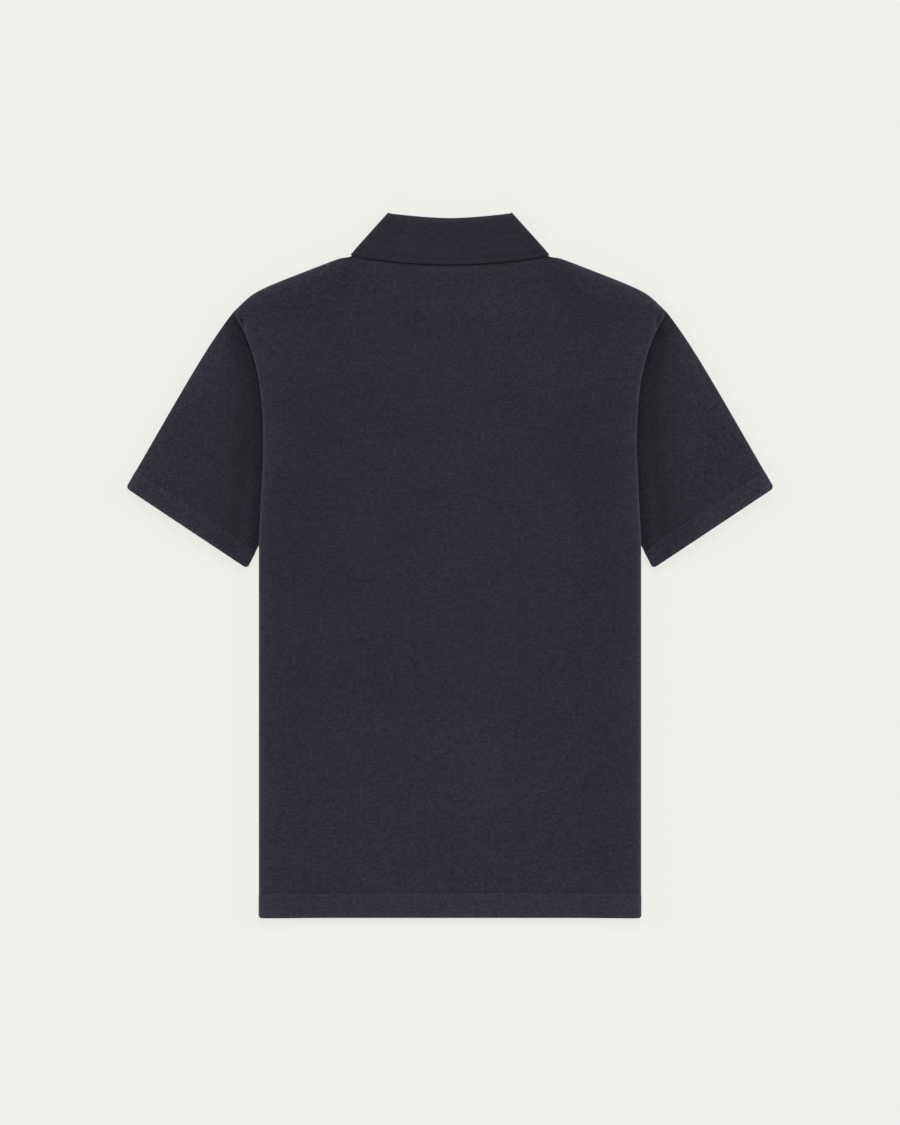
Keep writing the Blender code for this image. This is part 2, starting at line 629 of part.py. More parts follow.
def collar_half():
    """Middle surface of the right half of the collar, round the neck by up and over.

    The stand rises from the neck seam to the fold, turns over in a half round, and falls to
    the free edge.  The stand keeps a small radius round the side of the neck and the fall a
    larger one, so the four layers lie on each other.
    """
    seam, fold, edge, angle = collar_lines()
    upwards = fold - seam
    upwards /= np.linalg.norm(upwards, axis=1, keepdims=True)
    outwards = np.array(COLLAR_OUTWARDS)
    columns = []

    def place(plan, radius):
        swung = plan + radius * np.sin(angle)[:, None] * outwards
        columns.append(np.column_stack([swung, SEAM_HEIGHT + radius * np.cos(angle)]))

    for share in STAND_SHARES:
        place(seam + share * (fold - seam), STAND_RADIUS)
    for turn in FOLD_TURNS:
        lift = FOLD_RADIUS * sin(radians(turn))
        place(fold + lift * upwards, STAND_RADIUS + FOLD_RADIUS * (1.0 - cos(radians(turn))))
    for share in FALL_SHARES:
        place(fold + share * (edge - fold), FALL_RADIUS)
    return np.stack(columns, axis=1)


def add_collar():
    """The collar: one folded piece from the left end at the front round to the right end."""
    right = collar_half()
    left = right[:0:-1] * (-1.0, 1.0, 1.0)
    middle = np.concatenate([left, right])
    normals = grid_normals(middle)
    upright = np.abs(normals[..., 2]) > 0.9
    normals[upright] = np.sign(normals[upright][:, 2:]) * (0.0, 0.0, 1.0)
    return add_wall("collar", middle, normals, CLOTH, RIB)


# ---------------------------------------------------------------------------------------
# Placket and buttons
# ---------------------------------------------------------------------------------------


def add_placket_strip(name, level):
    """One strip of the placket, lying in the slot of the front; level is the height of its
    middle above the underside of the front."""
    x_grid, y_grid, _ = body_grid(front_neckline)
    rows = y_grid[slot_row(len(y_grid)) :, y_grid.shape[1] // 2]
    low, high = rows[0] + GAP, rows[-1] - GAP
    y = np.linspace(low, high, 2 * len(rows))
    x = np.array([-1.0, 1.0]) * (PLACKET_HALF_WIDTH - GAP)
    x, y = np.meshgrid(x, y)
    middle = np.stack([x, y, front_lift(x, y) + level], axis=2)
    upwards = np.zeros_like(middle)
    upwards[..., 2] = 1.0
    return add_wall(name, middle, upwards, PLACKET_CLOTH, JERSEY)


def button_mesh():
    """A four-hole button without its holes: a disc with a rounded rim round a dished face,
    which points down."""
    top, dish = BUTTON_THICKNESS, BUTTON_DISH
    profile = (
        (0.0, dish),
        (BUTTON_RADIUS - BUTTON_RIM - dish, dish),
        (BUTTON_RADIUS - BUTTON_RIM, 0.0),
        (BUTTON_RADIUS - 0.4 * BUTTON_RIM, 0.0),
        (BUTTON_RADIUS, 0.45 * top),
        (BUTTON_RADIUS - 0.3 * BUTTON_RIM, top),
        (0.0, top),
    )
    shape = bmesh.new()
    points = [shape.verts.new((radius, 0.0, height)) for radius, height in profile]
    edges = [shape.edges.new(pair) for pair in zip(points, points[1:])]
    bmesh.ops.spin(
        shape, geom=points + edges, cent=(0, 0, 0), axis=(0, 0, 1), angle=2 * pi, steps=BUTTON_SIDES
    )
    bmesh.ops.remove_doubles(shape, verts=shape.verts, dist=0.01 * MM)
    mesh = bpy.data.meshes.new("button")
    shape.to_mesh(mesh)
    shape.free()
    return mesh


def hole_cutter(name, y):
    """Four short rods, through the button's holes."""
    shape = bmesh.new()
    for quarter in range(4):
        turn = radians(45.0 + 90.0 * quarter)
        rod = bmesh.ops.create_cone(
            shape,
            cap_ends=True,
            segments=6,
            radius1=BUTTON_HOLE_RADIUS,
            radius2=BUTTON_HOLE_RADIUS,
            depth=3.0 * BUTTON_THICKNESS,
        )
        offset = (BUTTON_HOLE_OFFSET * cos(turn), BUTTON_HOLE_OFFSET * sin(turn), 0.0)
        bmesh.ops.translate(shape, verts=rod["verts"], vec=offset)
    mesh = bpy.data.meshes.new(name)
    shape.to_mesh(mesh)
    shape.free()
    cutter = bpy.data.objects.new(name, mesh)
    cutter.location = (0.0, y, 0.0)
    cutter.hide_render = True
    cutter.display_type = "WIRE"
    bpy.context.scene.collection.objects.link(cutter)
    return cutter


def add_button(name, y):
    """A button on the middle of the placket, face down."""
    button = add_object(name, button_mesh(), BUTTON)
    button.location = (0.0, y, 0.0)
    holes = button.modifiers.new("holes", "BOOLEAN")
    holes.operation = "DIFFERENCE"
    holes.solver = "EXACT"
    holes.object = hole_cutter(name + "_holes", y)
    return button


def main():
    """Build every piece of the shirt."""
    clear_scene()
    add_back()
    add_front()
    add_sleeve("sleeve_right", 1.0)
    add_sleeve("sleeve_left", -1.0)
    add_collar()
    add_placket_strip("placket_upper", 0.5 * PLACKET_CLOTH)
    add_placket_strip("placket_under", 1.5 * PLACKET_CLOTH + GAP)
    for name, y in BUTTON_PLACES.items():
        add_button(name, y)


main()
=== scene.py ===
"""Looks of a short-sleeved polo shirt in mottled dark jersey, laid flat and face down.

Each sewn piece is a fine closed shell on the form of its solid: a grid of points worked out as
whole arrays, with the thickness of the cloth, rolled sides, turned hems, seams and soft creases.
Stitches are small bent capsules, joined into one mesh for each seam.  Lengths are in metres.
+X runs across the shirt, +Y from the hem to the collar, and +Z up out of the shirt's back.
"""

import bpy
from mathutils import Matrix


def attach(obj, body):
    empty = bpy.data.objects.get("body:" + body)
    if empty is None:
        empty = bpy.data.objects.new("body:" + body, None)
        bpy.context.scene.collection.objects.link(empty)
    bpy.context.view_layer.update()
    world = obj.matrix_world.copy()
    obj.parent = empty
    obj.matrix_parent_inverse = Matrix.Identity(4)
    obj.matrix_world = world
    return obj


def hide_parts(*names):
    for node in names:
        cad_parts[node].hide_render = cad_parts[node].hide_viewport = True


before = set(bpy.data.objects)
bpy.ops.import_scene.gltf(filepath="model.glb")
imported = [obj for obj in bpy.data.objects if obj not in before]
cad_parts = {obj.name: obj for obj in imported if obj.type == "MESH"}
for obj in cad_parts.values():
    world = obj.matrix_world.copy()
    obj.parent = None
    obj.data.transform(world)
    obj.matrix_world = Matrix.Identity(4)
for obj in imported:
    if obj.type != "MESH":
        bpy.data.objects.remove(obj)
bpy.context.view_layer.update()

import logging
from collections.abc import Callable
from dataclasses import dataclass, field, replace
from enum import Enum
from math import cos, pi, radians, sin

import bpy
import numpy as np
from bpy.types import Material, Mesh, Node, NodeSocket, Object

log = logging.getLogger("polo_shirt")

Array = np.ndarray
Pair = tuple[float, float]
Triple = tuple[float, float, float]
Four = tuple[float, float, float, float]
Colour = Triple
Route = tuple[Array, Array]  # points of a line on the cloth, and its outward normals there

MM = 0.001
BODY = "root"
KNIT_MAP = "knit"  # UV map in metres: across the wales, and along them
TONE = "tone"  # attribute: how pale the cloth is, 1 where it is plain; it carries painted shade and highlights too
CREASE_SHADING = 0.09 / MM  # painted shade and highlight of creases: ridges are paler, and troughs darker, by this for a metre of height
UP = np.array([0.0, 0.0, 1.0])
TO_LAST_CELL = 1.000001  # a grid's size less this is still inside its last cell


# ---- Curves and grids ----


def mm(*lengths: float) -> tuple[float, ...]:
    """Lengths in metres, from these in millimetres."""
    return tuple(length * MM for length in lengths)


def smooth_step(value: Array | float) -> Array:
    """A soft S: 0 below 0, 1 above 1, and 3v^2 - 2v^3 between."""
    value = np.clip(value, 0.0, 1.0)
    return value * value * (3.0 - 2.0 * value)


def bump(value: Array) -> Array:
    """A soft hill: 1 at 0, falling as the bell curve exp(-v^2)."""
    return np.exp(-np.square(value))


def hill(at: Array, place: float, wide: float) -> Array:
    """A soft hill of height 1 about this place, with this half width."""
    return bump((at - place) / wide)


def eased(at: Array, start: float, length: float) -> Array:
    """A soft S from 0 at the start to 1 after this length."""
    return smooth_step((at - start) / length)


def between(first: Array | float, second: Array | float, share: Array) -> Array:
    """The first value where the share is 0, the second where it is 1, and between them."""
    return first + (second - first) * share


def quarter_ellipse(from_rim: Array, reach: float) -> Array:
    """Height of a quarter ellipse: 0 at a rim, and 1 at this reach from it and beyond."""
    return np.sqrt(1.0 - np.clip(1.0 - from_rim / reach, 0.0, 1.0) ** 2)


def larger(first: Array, second: Array, sharpness: float = 5.0) -> Array:
    """The larger of two heights from 0 up, rounded where they cross: the n-th root of the sum
    of their n-th powers."""
    return (np.abs(first) ** sharpness + np.abs(second) ** sharpness) ** (1.0 / sharpness)


def bezier(controls: tuple[Pair, ...], t: Array) -> Array:
    """Points of a cubic Bezier curve.

    Args:
        controls: The curve's four control points.
        t: Parameters from 0 to 1.

    Returns:
        The points, in an array with one more axis than t.
    """
    t = np.asarray(t, float)[..., None]
    first, second, third, last = np.asarray(controls, float)
    start = (1 - t) ** 3 * first + 3 * (1 - t) ** 2 * t * second
    return start + 3 * (1 - t) * t**2 * third + t**3 * last


def curve_points(controls: tuple[Pair, ...], count: int = 800) -> Array:
    """This many points of a cubic Bezier curve, at even steps of its parameter."""
    return bezier(controls, np.linspace(0.0, 1.0, count))


def read_curve(controls: tuple[Pair, ...], values: Array, axis: int) -> Array:
    """Read a plane Bezier curve as a function of one coordinate.

    Args:
        controls: The curve's four control points.
        values: Where to read it, along the coordinate `axis`.
        axis: 0 to read y where x is given, or 1 to read x where y is given.

    Returns:
        The other coordinate at each value.
    """
    samples = curve_points(controls)
    order = np.argsort(samples[:, axis])
    return np.interp(values, samples[order, axis], samples[order, 1 - axis])


def read_along(controls: tuple[Pair, ...], shares: Array) -> Array:
    """Points of a plane Bezier curve at these shares of its length."""
    samples = curve_points(controls)
    length = arc_lengths(samples)
    shares = shares * length[-1]
    return np.stack([np.interp(shares, length, samples[:, axis]) for axis in (0, 1)], axis=-1)


def spaced(*stretches: tuple[float, float, int]) -> Array:
    """Places of grid lines over stretches that join, each (start, end, number of steps)."""
    parts = [np.linspace(start, end, steps, endpoint=False) for start, end, steps in stretches]
    return np.concatenate([*parts, [stretches[-1][1]]])


def quarter_round(depth: float, steps: int = 8) -> tuple[Array, Array]:
    """Grid lines round a quarter circle at a rim.

    Args:
        depth: How far the round reaches inwards from the rim.
        steps: Number of steps.

    Returns:
        Each line's distance from the rim, and its share of the height.
    """
    angles = np.linspace(0.0, 0.5 * pi, steps + 1)
    return depth * (1.0 - np.cos(angles)), np.sin(angles)


def unit(vectors: Array) -> Array:
    """The vectors, each scaled to length 1."""
    return vectors / np.maximum(np.linalg.norm(vectors, axis=-1, keepdims=True), 1e-12)


def grid_normals(points: Array, wrap: bool = False) -> Array:
    """Unit normals of a grid of points: the step across it crossed with the step along it."""
    if wrap:
        across = np.roll(points, -1, axis=1) - np.roll(points, 1, axis=1)
    else:
        across = np.gradient(points, axis=1)
    return unit(np.cross(across, np.gradient(points, axis=0)))


def read_grid(values: Array, rows: Array, columns: Array) -> Array:
    """Values of a grid at fractional rows and columns, by straight interpolation both ways."""
    rows = np.clip(rows, 0, values.shape[0] - TO_LAST_CELL)
    columns = np.clip(columns, 0, values.shape[1] - TO_LAST_CELL)
    row, column = rows.astype(int), columns.astype(int)
    down, along = (rows - row)[..., None], (columns - column)[..., None]
    near = values[row, column] * (1 - along) + values[row, column + 1] * along
    far = values[row + 1, column] * (1 - along) + values[row + 1, column + 1] * along
    return near * (1 - down) + far * down


def arc_lengths(points: Array) -> Array:
    """Distance of each point of a polyline from its start, measured along it."""
    return np.concatenate([[0.0], np.cumsum(np.linalg.norm(np.diff(points, axis=0), axis=1))])


def row_lengths(points: Array) -> Array:
    """Distance of each point of a grid from the first one of its row, measured along the row."""
    steps = np.linalg.norm(np.diff(points, axis=1), axis=2)
    return np.concatenate([np.zeros((len(steps), 1)), np.cumsum(steps, axis=1)], axis=1)


def mirrored(values: Array, sign: Array | float = 1.0) -> Array:
    """Values of a right half with those of the left half before them, times this sign."""
    return np.concatenate([sign * values[:0:-1], values])


def uneven_wave(along: Array, *lengths: float) -> Array:
    """A wave of uneven height: sines of these wave lengths, added and scaled to about 1."""
    waves = [np.sin(2.0 * pi * along / length + number) for number, length in enumerate(lengths)]
    return sum(waves) / len(lengths)


# ---- Meshes ----


def make_mesh(name: str, points: Array, faces: Array, caps: Array | None = None) -> Mesh:
    """A smooth-shaded mesh from whole arrays.

    Args:
        name: Name of the mesh.
        points: The vertices, one row each.
        faces: Vertex numbers of the faces, all with as many corners.
        caps: Vertex numbers of further faces, with another number of corners.

    Returns:
        The mesh.
    """
    groups = [faces] if caps is None else [faces, caps]
    loops = np.concatenate([group.ravel() for group in groups]).astype(np.int32)
    sizes = np.concatenate([np.full(len(group), group.shape[1]) for group in groups])
    starts = np.concatenate([[0], np.cumsum(sizes)[:-1]]).astype(np.int32)
    mesh = bpy.data.meshes.new(name)
    mesh.vertices.add(len(points))
    mesh.vertices.foreach_set("co", np.ascontiguousarray(points, np.float32).ravel())
    mesh.loops.add(len(loops))
    mesh.loops.foreach_set("vertex_index", loops)
    mesh.polygons.add(len(sizes))
    mesh.polygons.foreach_set("loop_start", starts)
    mesh.update(calc_edges=True)
    mesh.validate()
    mesh.shade_smooth()
    return mesh


def tube_faces(sides: int, rings: int) -> tuple[Array, Array]:
    """Vertex numbers of the faces of a tube of rings, and of the caps at its ends."""
    first = np.arange(sides)
    beside = (first + 1) % sides
    faces = np.stack([first, beside, beside + sides, first + sides], axis=1)
    faces = (sides * np.arange(rings - 1)[:, None, None] + faces).reshape(-1, 4)
    return faces, np.stack([first[::-1], first + sides * (rings - 1)])


def add_object(name: str, data: object) -> Object:
    """Put a new object with this data into the scene."""
    made = bpy.data.objects.new(name, data)
    bpy.context.scene.collection.objects.link(made)
    return made


def add_piece(mesh: Mesh, material: Material) -> Object:
    """Put a mesh into the scene as a piece that rides on the shirt's one body.

    Args:
        mesh: The piece's mesh, with its place in it.
        material: Its finish.

    Returns:
        The new object, which has the mesh's name.
    """
    mesh.materials.append(material)
    piece = add_object(mesh.name, mesh)
    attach(piece, BODY)
    return piece


@dataclass
class Shell:
    """A closed wall of cloth round a grid of middle points.

    Its upper face is the side to which the normals point.  A free edge is closed by a strip.
    """

    middle: Array  # points of the wall's middle, rows by columns
    normals: Array  # unit normals there
    thickness: Array  # of the wall there
    chart: Array  # knit coordinates there, in metres; one column more where the shell wraps
    tone: Array  # how pale the cloth is there, painted shade and highlights included
    upper_relief: Array | float = 0.0  # of the upper face there, beyond half the thickness
    lower_relief: Array | float = 0.0
    kept: Array | None = None  # False for a cell that is left out
    wrap: bool = False  # whether the last column joins the first

    def face(self, side: float) -> Array:
        """Points of the upper face for a side of 1, and of the lower face for -1."""
        relief = self.upper_relief if side > 0 else self.lower_relief
        out = 0.5 * np.broadcast_to(self.thickness, self.middle.shape[:2]) + relief
        return self.middle + side * out[..., None] * self.normals

    def route(self, rows: Array, columns: Array, side: float = 1.0) -> Route:
        """The line on one face through these fractional rows and columns of the grid."""
        points, normals = self.face(side), side * self.normals
        return read_grid(points, rows, columns), read_grid(normals, rows, columns)

    def mesh(self, name: str) -> Mesh:
        """The closed mesh, with its knit map and its tone attribute."""
        rows, columns = self.middle.shape[:2]
        kept = self.kept
        if kept is None:
            kept = np.ones((rows - 1, columns if self.wrap else columns - 1), bool)
        row, column = np.nonzero(kept)
        row = row[:, None] + [0, 0, 1, 1]
        column = column[:, None] + [0, 1, 1, 0]
        top = row * columns + column % columns
        chart = self.chart[row, column]
        edges = np.stack([top, np.roll(top, -1, axis=1)], axis=2).reshape(-1, 2)
        edge_chart = np.stack([chart, np.roll(chart, -1, axis=1)], axis=2).reshape(-1, 2, 2)
        codes = np.sort(edges, axis=1) @ np.array([rows * columns, 1])
        _, index, count = np.unique(codes, return_inverse=True, return_counts=True)
        free = count[index.reshape(-1)] == 1
        start, end = edges[free].T
        under = rows * columns
        rim = np.stack([start, start + under, end + under, end], axis=1)
        faces = np.concatenate([top, top[:, ::-1] + under, rim])
        corners = np.concatenate([chart, chart[:, ::-1], edge_chart[free][:, [0, 0, 1, 1]]])
        points = np.concatenate([self.face(1.0).reshape(-1, 3), self.face(-1.0).reshape(-1, 3)])
        used, faces = np.unique(faces, return_inverse=True)
        mesh = make_mesh(name, points[used], faces.reshape(-1, 4))
        layer = mesh.uv_layers.new(name=KNIT_MAP)
        layer.uv.foreach_set("vector", corners.astype(np.float32).ravel())
        tone = np.tile(np.broadcast_to(self.tone, (rows, columns)).ravel(), 2)[used]
        mesh.attributes.new(TONE, "FLOAT", "POINT").data.foreach_set("value", tone.astype(np.float32))
        return mesh


@dataclass(frozen=True)
class Thread:
    """Sewing thread: rows of small bent stitches that dip into the cloth at their ends."""

    pitch: float = 3.0 * MM  # from one stitch to the next
    length: float = 2.35 * MM  # of a stitch
    radius: float = 0.16 * MM
    rise: float = -0.04 * MM  # of the middle of a stitch over the cloth
    sides: int = 6  # of the thread's section
    stations: int = 6  # sections along a stitch
    widths: Pair = (0.55, 0.45)  # at the ends, and what the middle has more, as shares

    def stitches_on(self, route: Array, normals: Array) -> tuple[Array, Array, Array]:
        """Start, end and normal of each stitch along a route.

        Args:
            route: Points of a line on the cloth.
            normals: The cloth's normals there.

        Returns:
            Three arrays with one row for each stitch.
        """
        length = arc_lengths(route)
        count = max(int((length[-1] - self.length) / self.pitch), 1)
        begin = 0.5 * (length[-1] - (count - 1) * self.pitch - self.length)
        begin = begin + self.pitch * np.arange(count)

        def read(values: Array, at: Array) -> Array:
            return np.stack([np.interp(at, length, values[:, axis]) for axis in range(3)], axis=1)

        middle = unit(read(normals, begin + 0.5 * self.length))
        return read(route, begin), read(route, begin + self.length), middle

    def mesh(self, name: str, starts: Array, ends: Array, normals: Array) -> Mesh:
        """One mesh of all the stitches.

        The middle line of a stitch runs from its start to its end and arches by the square
        root of 4t(1 - t), and its radius narrows towards the ends in the same way.

        Args:
            name: Name of the mesh.
            starts: Start of each stitch.
            ends: End of each stitch.
            normals: Direction out of the cloth at each stitch.

        Returns:
            The mesh.
        """
        t = np.linspace(0.0, 1.0, self.stations)
        arch = np.sqrt(4.0 * t * (1.0 - t))
        line = starts[:, None] + t[:, None] * (ends - starts)[:, None]
        line = line + ((self.rise + self.radius) * arch - self.radius)[:, None] * normals[:, None]
        side = unit(np.cross(normals, ends - starts))
        turns = 2.0 * pi * np.arange(self.sides) / self.sides
        ring = np.cos(turns)[:, None] * side[:, None] + np.sin(turns)[:, None] * normals[:, None]
        wide = self.radius * (self.widths[0] + self.widths[1] * arch)
        points = line[:, :, None] + wide[:, None, None] * ring[:, None]
        step = self.sides * self.stations * np.arange(len(starts))[:, None, None]
        faces, caps = (
            (step + part).reshape(-1, part.shape[1])
            for part in tube_faces(self.sides, self.stations)
        )
        return make_mesh(name, points.reshape(-1, 3), faces, caps)

    def sew(
        self, name: str, routes: list[Route], material: Material
    ) -> Object:
        """Sew rows of stitches along routes, as one piece.

        Args:
            name: Name of the piece.
            routes: The lines, each with its points and the cloth's normals.
            material: The thread's finish.

        Returns:
            The new object.
        """
        rows = [self.stitches_on(route, normals) for route, normals in routes]
        starts, ends, normals = (np.concatenate(part) for part in zip(*rows))
        log.info("%s: %d stitches", name, len(starts))
        return add_piece(self.mesh(name, starts, ends, normals), material)


# ---- Finishes ----


class NodeWeb:
    """A material whose shader nodes are added and linked one by one."""

    def __init__(self, name: str) -> None:
        """Start an empty material with its output and its main shader."""
        self.material = bpy.data.materials.new(name)
        self.material.use_nodes = True
        self.tree = self.material.node_tree
        self.tree.nodes.clear()
        self.shader = self.node("ShaderNodeBsdfPrincipled")
        output = self.node("ShaderNodeOutputMaterial")
        self.tree.links.new(self.shader.outputs["BSDF"], output.inputs["Surface"])

    def node(self, kind: str, inputs: dict | None = None, **settings: object) -> Node:
        """Add a node.

        Args:
            kind: The node's type.
            inputs: A value or another node's output for each input socket, by name or number.
            **settings: Values of the node's own properties.

        Returns:
            The node.
        """
        made = self.tree.nodes.new(kind)
        for name, value in settings.items():
            setattr(made, name, value)
        for name, value in (inputs or {}).items():
            self.feed(made.inputs[name], value)
        return made

    def feed(self, socket: NodeSocket, value: object) -> None:
        """Link an output to an input socket, or set the socket's value."""
        if isinstance(value, NodeSocket):
            self.tree.links.new(value, socket)
        else:
            socket.default_value = value

    def dress(self, inputs: dict) -> Material:
        """Feed inputs of the main shader, by name, and return the material."""
        for name, value in inputs.items():
            self.feed(self.shader.inputs[name], value)
        return self.material

    def math(self, operation: str, *values: object) -> NodeSocket:
        """The result of a math node on one to three values."""
        inputs = dict(enumerate(values))
        return self.node("ShaderNodeMath", inputs, operation=operation).outputs[0]

    def noise(self, vector: NodeSocket, size: Pair, detail: float) -> NodeSocket:
        """Soft noise about 0, with grains of this size across and along."""
        scale = (1.0 / size[0], 1.0 / size[1], 1.0)
        at = self.node("ShaderNodeMapping", {"Vector": vector, "Scale": scale}).outputs[0]
        inputs = {"Vector": at, "Scale": 1.0, "Detail": detail, "Roughness": 0.6}
        return self.math("SUBTRACT", self.node("ShaderNodeTexNoise", inputs).outputs[0], 0.5)

    def blend(self, share: object, first: object, second: object) -> NodeSocket:
        """A colour between two colours."""
        mixed = self.node("ShaderNodeMix", data_type="RGBA")
        for number, value in ((0, share), (6, first), (7, second)):
            colour = (*value, 1.0) if isinstance(value, tuple) else value
            self.feed(mixed.inputs[number], colour)
        return mixed.outputs[2]


@dataclass(frozen=True)
class Knit:
    """A knitted cloth of mottled yarn with a soft nap; sizes are across and along the wales."""

    name: str
    colour: Colour  # the yarn's mean colour
    spread: float  # how far the darkest and palest yarn lie from it, as a share of it
    fleck: Colour  # of the few pale fibres
    grain: Pair  # size of the mottling
    mottle: Four  # weights of the mottling, of its fine part, of its wide part and of its clouds
    wale: float  # width of a column of loops
    course: float  # height of a row of loops
    depth: float  # of the loops
    roughness: float
    sheen: float  # weight of the nap's sheen
    mottle_sizes: Four = (1.0, 0.38, 2.7, 26.0)  # as shares of the grain
    mottle_details: Four = (0.0, 0.0, 1.0, 2.0)  # number of finer noises in each
    loop_shade: Pair = (0.05, -0.04)  # that a loop's height adds, and that all the cloth has
    fleck_size: Pair = (0.75, 0.55)  # as shares of the grain
    fleck_noise: Pair = (0.2, 0.32)  # at which a fleck begins, and at which it is full
    fleck_share: float = 0.6  # how much of its own colour a full fleck has
    fuzz_size: Pair = mm(0.5, 0.35)
    fuzz_depth: float = 0.7  # as a share of the loops'
    leg: Triple = (0.25, 1.3, 0.25)  # its place, how far it leans, and how uneven it is

    def loops(self, web: NodeWeb, at: NodeSocket) -> NodeSocket:
        """Height of the knit loops, from 0 to 1.

        In each column of loops, m is the distance from its middle line, as a share of the
        column's width.  A leg of the loops is a ridge about m = 1/4, and waves along it that
        lean outwards as they rise are its single loops, so that they read as small Vs.
        """
        place, lean, wavy = self.leg
        split = web.node("ShaderNodeSeparateXYZ", {0: at})
        across = web.math("MULTIPLY", split.outputs[0], 1.0 / self.wale)
        along = web.math("MULTIPLY", split.outputs[1], 1.0 / self.course)
        middle = web.math("SUBTRACT", web.math("FRACT", across), 0.5)
        middle = web.math("ABSOLUTE", middle)
        from_leg = web.math("MULTIPLY", web.math("SUBTRACT", middle, place), 1.0 / place)
        leg = web.math("SUBTRACT", 1.0, web.math("MULTIPLY", from_leg, from_leg))
        turns = web.math("SUBTRACT", along, web.math("MULTIPLY", middle, lean))
        wave = web.math("COSINE", web.math("MULTIPLY", turns, 2.0 * pi))
        return web.math("MULTIPLY", leg, web.math("MULTIPLY_ADD", wave, wavy, 1.0 - wavy))

    def material(self) -> Material:
        """The finish as a node material on the knit map."""
        web = NodeWeb(self.name)
        at = web.node("ShaderNodeUVMap", uv_map=KNIT_MAP).outputs[0]
        across, along = self.grain
        share: object = 0.5
        for weight, size, detail in zip(self.mottle, self.mottle_sizes, self.mottle_details):
            noise = web.noise(at, (across * size, along * size), detail)
            share = web.math("MULTIPLY_ADD", noise, weight, share)
        loops = self.loops(web, at)
        share = web.math("ADD", share, web.math("MULTIPLY_ADD", loops, *self.loop_shade))
        dark, pale = (
            tuple((1.0 + sign * self.spread) * part for part in self.colour) for sign in (-1.0, 1.0)
        )
        base = web.blend(share, dark, pale)
        size, (begin, full) = self.fleck_size, self.fleck_noise
        flecks = web.noise(at, (size[0] * across, size[1] * along), 1.0)
        steps = {0: flecks, 1: begin, 2: full, 3: 0.0, 4: self.fleck_share}
        flecks = web.node("ShaderNodeMapRange", steps).outputs[0]
        base = web.blend(flecks, base, self.fleck)
        tone = web.node("ShaderNodeAttribute", attribute_name=TONE).outputs["Fac"]
        tone = web.math("MULTIPLY", tone, web.math("ADD", share, 0.5))
        base = web.node("ShaderNodeVectorMath", {0: base, "Scale": tone}, operation="SCALE")
        fuzz = web.noise(at, self.fuzz_size, 2.0)
        height = web.math("MULTIPLY_ADD", fuzz, self.fuzz_depth, loops)
        bumps = {"Strength": 0.6, "Distance": self.depth, "Height": height}
        return web.dress({
            "Normal": web.node("ShaderNodeBump", bumps).outputs[0],
            "Roughness": web.math("MULTIPLY_ADD", fuzz, 0.1, self.roughness),
            "Base Color": base.outputs[0],
            "Sheen Weight": self.sheen,
            "Sheen Roughness": 0.55,
            "Sheen Tint": (0.75, 0.78, 1.0, 1.0),
            "Specular IOR Level": 0.18,
        })


@dataclass(frozen=True)
class Resin:
    """Dyed button resin with faint swirls."""

    name: str = "button_resin"
    dark: Colour = (0.016, 0.017, 0.024)
    pale: Colour = (0.055, 0.057, 0.072)
    roughness: float = 0.28

    def material(self) -> Material:
        """The finish as a node material on object coordinates."""
        web = NodeWeb(self.name)
        at = web.node("ShaderNodeTexCoord").outputs["Object"]
        inputs = {"Vector": at, "Scale": 260.0, "Detail": 3.0, "Roughness": 0.5, "Distortion": 2.5}
        swirl = web.node("ShaderNodeTexNoise", inputs).outputs[0]
        steps = {0: swirl, 1: 0.35, 2: 0.75, 3: 0.0, 4: 1.0}
        share = web.node("ShaderNodeMapRange", steps).outputs[0]
        inputs = {"Vector": at, "Scale": 4000.0, "Detail": 2.0}
        scratch = web.node("ShaderNodeTexNoise", inputs).outputs[0]
        bumps = {"Strength": 0.15, "Distance": 0.05 * MM, "Height": scratch}
        return web.dress({
            "Normal": web.node("ShaderNodeBump", bumps).outputs[0],
            "Base Color": web.blend(share, self.dark, self.pale),
            "Roughness": web.math("MULTIPLY_ADD", scratch, 0.12, self.roughness),
            "Coat Weight": 0.25,
            "Coat Roughness": 0.2,
        })


@dataclass(frozen=True)
class Yarn:
    """Sewing thread with a faint twist."""

    name: str = "sewing_thread"
    dark: Colour = (0.009, 0.009, 0.015)
    pale: Colour = (0.016, 0.0164, 0.025)

    def material(self) -> Material:
        """The finish as a node material on object coordinates."""
        web = NodeWeb(self.name)
        at = web.node("ShaderNodeTexCoord").outputs["Object"]
        inputs = {"Vector": at, "Scale": 900.0, "Distortion": 3.0, "Detail": 1.0}
        ply = web.node("ShaderNodeTexWave", inputs, bands_direction="DIAGONAL").outputs["Fac"]
        bumps = {"Strength": 0.4, "Distance": 0.05 * MM, "Height": ply}
        return web.dress({
            "Normal": web.node("ShaderNodeBump", bumps).outputs[0],
            "Base Color": web.blend(ply, self.dark, self.pale),
            "Roughness": web.math("MULTIPLY_ADD", ply, 0.1, 0.55),
            "Sheen Weight": 0.05,
        })


JERSEY = Knit(
    name="mottled_jersey",
    colour=(0.0164, 0.0166, 0.0256),
    spread=0.9,
    fleck=(0.044, 0.046, 0.060),
    grain=mm(3.6, 2.2),
    mottle=(0.40, 0.21, 0.24, 0.10),
    wale=0.95 * MM,
    course=0.72 * MM,
    depth=0.22 * MM,
    roughness=0.88,
    sheen=0.05,
)
SLEEVE_JERSEY = replace(JERSEY, name="sleeve_jersey", mottle=(0.46, 0.25, 0.27, 0.11))
COLLAR_KNIT = replace(
    JERSEY,
    name="collar_knit",
    colour=(0.0144, 0.0146, 0.0232),
    fleck=(0.036, 0.038, 0.050),
    grain=mm(3.2, 2.4),
    mottle=(0.27, 0.17, 0.23, 0.19),
    wale=0.8 * MM,
    course=0.62 * MM,
    depth=0.16 * MM,
    roughness=0.86,
)


